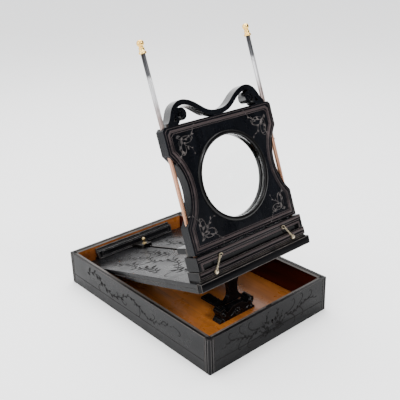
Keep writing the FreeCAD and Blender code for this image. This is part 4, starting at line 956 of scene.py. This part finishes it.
fans = [
    corner_spray(-85, 16, 43, 1.3), corner_spray(85, 16, 137, 1.15),
    corner_spray(-85, 162, -43, 1.15), corner_spray(85, 162, -137, 1.3),
]
carved_worn = wood("carved_worn", (0.020, 0.0175, 0.0175), (0.074, 0.064, 0.061), "z",
                   rough=(0.3, 0.5), coat=0.0, figure=200.0, contrast=(0.4, 0.6), shine=0.2)
carved("panel_sprays", "lens_panel", LENS_FRONT, [line for stems, _ in fans for line in stems],
       [line for _, arms in fans for line in arms], carved_worn, width=0.8, height=0.35, leaf=7.2,
       gap=6.2, spread=34.0, seed=11)

# ------------------------------------------------------------------ rail and plinth beads
# Long reeded strips worked along the rail and the plinth, and a bead round the
# sunk panel between the hooks.


def oblong(x0, y0, x1, y1):
    """A rectangle as a closed line."""
    return [(x0, y0), (x1, y0), (x1, y1), (x0, y1)]


rail_beads = [
    moulding([(-104.5, -4.2), (104.5, -4.2)], ridge(3.2, 0.6)),
    moulding([(-104.5, -8.4), (104.5, -8.4)], ridge(0.9, 0.35)),
    moulding([(-99.5, -21.0), (-99.5, -12.2), (99.5, -12.2), (99.5, -21.0)], ridge(2.6, 0.7)),
]
worked("rail_reeds", "lens_frame", rail_beads, bead_worn, RAIL_FRONT)
plinth_beads = [
    moulding([(-106, -25.4), (106, -25.4)], ridge(3.4, 0.6)),
    moulding([(-106, -30.6), (106, -30.6)], ridge(1.1, 0.45)),
]
worked("plinth_reeds", "platform", plinth_beads, bead_worn, RAIL_FRONT)

# ------------------------------------------------------------------ platform carving
# Leaf scrolls cut into the polished top on both sides of the slot, kept low
# enough for the card holder to slide over them.
bough = flow([(-84, 40), (-70, 62), (-76, 92), (-56, 118), (-44, 148), (-60, 182), (-48, 214),
              (-62, 246), (-50, 276)])
outer_bough = flow([(-96, 120), (-84, 150), (-92, 184), (-80, 214), (-92, 244), (-78, 272)])
inner_bough = flow([(-20, 190), (-30, 214), (-22, 240), (-34, 266), (-24, 288)])
boughs = [bough, outer_bough, inner_bough]
bough_arms = [
    curl(-70, 62, 20, 50, 1.0), curl(-76, 92, 150, 40, 1.0), curl(-56, 118, 20, 44, -1.0),
    curl(-44, 148, 60, 44, -1.0), curl(-60, 182, 160, 50, -1.0), curl(-48, 214, 30, 44, 1.0),
]
carved("platform_scrolls", "platform", BOARD_TOP, both_sides(boughs), both_sides(bough_arms),
       carved_dark, width=1.6, height=0.2, relief=0.18, leaf=15.0, gap=6.5, seed=17)

# ------------------------------------------------------------------ card holder
# A rail with a raised frame on its front face, where the cards lean.
HOLDER_AT = 0.3170
HOLDER_FRONT = plane(PLATFORM_FOOT + SLOPE * HOLDER_AT, ACROSS, RISE, -SLOPE)
carved_pale = wood("carved_pale", (0.012, 0.011, 0.011), (0.05, 0.046, 0.044), "y",
                   rough=(0.25, 0.45), coat=0.1)
frame_beads = [
    moulding(oblong(-80.2, 1.5, 80.2, 14.4), ridge(1.5, 0.45), closed=True),
    moulding(oblong(-74.0, 4.0, 74.0, 12.0), ridge(0.8, 0.3), closed=True),
]
worked("holder_frame", "holder", frame_beads, carved_pale, HOLDER_FRONT)

# ------------------------------------------------------------------ screws
# Small slotted countersunk screws hold every hinge leaf; each is driven home at
# whatever angle its slot happened to stop.


def screw_blank():
    """A slotted head, one unit in radius: two half discs over a sunk floor."""
    form = bmesh.new()

    def stacked(rings):
        rows = [[form.verts.new(point) for point in ring] for ring in rings]
        wide = len(rows[0])
        for low, high in zip(rows, rows[1:]):
            for k in range(wide):
                form.faces.new((low[k], low[(k + 1) % wide], high[(k + 1) % wide], high[k]))
        form.faces.new(rows[0])
        form.faces.new(rows[-1])

    slot_half = 0.14
    first = math.asin(slot_half)
    turns = [first + (math.pi - 2 * first) * k / 10 for k in range(11)]
    for side in (-1, 1):
        stacked([[(math.cos(a) * reach, side * max(slot_half, math.sin(a) * reach), out) for a in turns]
                 for reach, out in ((1.0, -0.05), (0.96, 0.16), (0.84, 0.24))])
    full = [math.tau * k / 16 for k in range(16)]
    stacked([[(math.cos(a) * 0.93, math.sin(a) * 0.93, out) for a in full] for out in (-0.05, 0.03)])
    bmesh.ops.recalc_face_normals(form, faces=form.faces)
    return bpy.data.objects.new("screw_blank", cast(form, "screw_blank"))


def screwing_group():
    """A screw head on every point, each turned its own way."""
    group, make, join, entry, leave = new_group("screwing", "GeometryNodeTree", [
        ("Spots", "Geometry"), ("Head", "Object"), ("Radius", "Float"), ("Seed", "Int"),
        ("Material", "Material"),
    ], [("Screws", "Geometry")])
    stopped = at_random(make, join, entry.outputs["Seed"], 0.0, math.pi)
    scattered(make, join, entry, leave, entry.outputs["Spots"], entry.outputs["Head"], stopped,
              entry.outputs["Radius"])
    return group


SCREW = screw_blank()
SCREWING = screwing_group()


def screws(name, body, rows, radius=1.7, seed=1):
    """Screws for one body: rows pair a face's frame with spots on it (millimetres)."""
    form = bmesh.new()
    for i, (grid, spots) in enumerate(rows):
        mesh = bpy.data.meshes.new("spots")
        mesh.from_pydata([(x / 1000, y / 1000, 0) for x, y in spots], [], [])
        holder = bpy.data.objects.new("spots", mesh)
        made = run_group(holder, SCREWING, {
            "Head": SCREW, "Radius": radius / 1000, "Seed": seed + i, "Material": dull_brass,
        })
        made.transform(grid)
        form.from_mesh(made)
    mesh = cast(form, name)
    mesh.materials.append(dull_brass)
    mesh.polygons.foreach_set("material_index", [0] * len(mesh.polygons))
    seat(standing(name, mesh), body, "fittings_brass")


# How far the hinge leaves' outer faces lie from the wall, from the lens panel's
# front, from the platform's top and from the prop's pin.
LEAF_THICK, RAIL_DEPTH, BOARD_DEPTH, STRUT_PROUD = 0.0018, 0.0238, 0.0088, 0.0073
PROP_LEAN = math.radians(5.0)
PROP_PIN = Vector(joints["prop_fold"]["pos_m"])
PROP_UP = Vector((0, math.sin(PROP_LEAN), math.cos(PROP_LEAN)))
PROP_OUT = Vector((0, -math.cos(PROP_LEAN), math.sin(PROP_LEAN)))
RAIL_BACK = plane(LENS_FOOT + BACK * RAIL_DEPTH, -ACROSS, UP, BACK)
BOARD_UNDER = plane(PLATFORM_FOOT - RISE * BOARD_DEPTH, -ACROSS, SLOPE, -RISE)
wall_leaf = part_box("platform_hinge_wall_left")[1].y - LEAF_THICK
WALL_BACK = plane((0, wall_leaf, 0), ACROSS, (0, 0, 1), (0, -1, 0))
PROP_FRONT = plane(PROP_PIN + PROP_OUT * STRUT_PROUD, ACROSS, PROP_UP, PROP_OUT)
HINGE_AT = 74.0


def paired(spread, height):
    """Spots for both hinges of a pair, at one height on the leaf (millimetres)."""
    return [(side * HINGE_AT + off, height) for side in (-1, 1) for off in spread]


screws("screws_rail", "lens_frame", [(RAIL_BACK, paired((-14.5, 0, 14.5), -13.6))])
screws("screws_platform", "platform", [
    (RAIL_BACK, paired((-3.8, 3.8), -30.5)),
    (BOARD_UNDER, paired((-13.5, 13.5), 311.0) + [(-9.0, 54.5), (9.0, 54.5)]),
], seed=5)
screws("screws_prop", "prop", [
    (PROP_FRONT, [(x, y) for y in (-12.0, -20.0) for x in (-9.2, 9.2)]),
], seed=9)
screws("screws_wall", "box", [(WALL_BACK, paired((-3.6, 3.6), 16.0))], seed=13)

# ------------------------------------------------------------------ carved foot
# Turned scrolls and a leaf boss dress the base that the prop stands on.
front_edge, back_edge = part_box("prop_base")
FOOT_FRONT = plane((0, front_edge.y, 0), (1, 0, 0), (0, 0, 1), (0, -1, 0))
FOOT_BACK = plane((0, back_edge.y, 0), (-1, 0, 0), (0, 0, 1), (0, 1, 0))


BEDDED = 0.05


def dome(x, y, radius, height, rings=5, around=20):
    """A low round boss, its rim bedded in the face."""
    verts = [(x / 1000, y / 1000, height / 1000)]
    faces = []
    for r in range(1, rings + 1):
        fall = math.pi / 2 * r / rings
        for k in range(around):
            angle = math.tau * k / around
            reach = radius * math.sin(fall)
            verts.append(((x + reach * math.cos(angle)) / 1000, (y + reach * math.sin(angle)) / 1000,
                          (height * math.cos(fall) - BEDDED) / 1000))
    for k in range(around):
        faces.append((0, 1 + k, 1 + (k + 1) % around))
    for r in range(rings - 1):
        for k in range(around):
            a0 = 1 + r * around + k
            a1 = 1 + r * around + (k + 1) % around
            faces.append((a0, a0 + around, a1 + around, a1))
    faces.append(tuple(range(1 + (rings - 1) * around, 1 + rings * around)))
    return verts, faces


def coil(x, y, start, outer, turns, hand):
    """A flat spiral wound in from an outer radius."""
    line = []
    for k in range(int(24 * turns) + 1):
        share = k / (24 * turns)
        angle = math.radians(start) + hand * math.tau * turns * share
        reach = outer * (1 - 0.78 * share)
        line.append((x + reach * math.cos(angle), y + reach * math.sin(angle)))
    return line


scroll_work = []
for side in (-1, 1):
    scroll_work += [
        moulding(coil(side * 29.5, 23.2, 90, 5.6, 1.6, side), ridge(2.2, 1.6), taper=(1, 0.5)),
        dome(side * 29.5, 23.2, 2.0, 2.2),
        moulding(coil(side * 30.5, 12.6, -90, 3.8, 1.3, -side), ridge(1.8, 1.3), taper=(1, 0.5)),
        dome(side * 30.5, 12.6, 1.4, 1.7),
        moulding(flow([(side * 7, 19), (side * 13, 14.5), (side * 19, 14), (side * 24, 17.5)]),
                 ridge(2.0, 1.2), taper=(0.6, 0.4)),
    ]
rosette = [dome(0, 16.5, 3.0, 2.8)]
for k in range(8):
    angle = math.tau * k / 8
    rosette.append(dome(5.0 * math.cos(angle), 16.5 + 5.0 * math.sin(angle), 2.1, 1.6, 3, 12))
foot_black = wood("foot_black", BLACK, SOFT_BLACK, "x", rough=(0.15, 0.3), coat=0.1, shine=0.3)
for side, grid, work in (
    ("front", FOOT_FRONT, scroll_work + rosette), ("back", FOOT_BACK, scroll_work),
):
    worked("foot_carving_" + side, "box", work, foot_black, grid, crease=50.0)
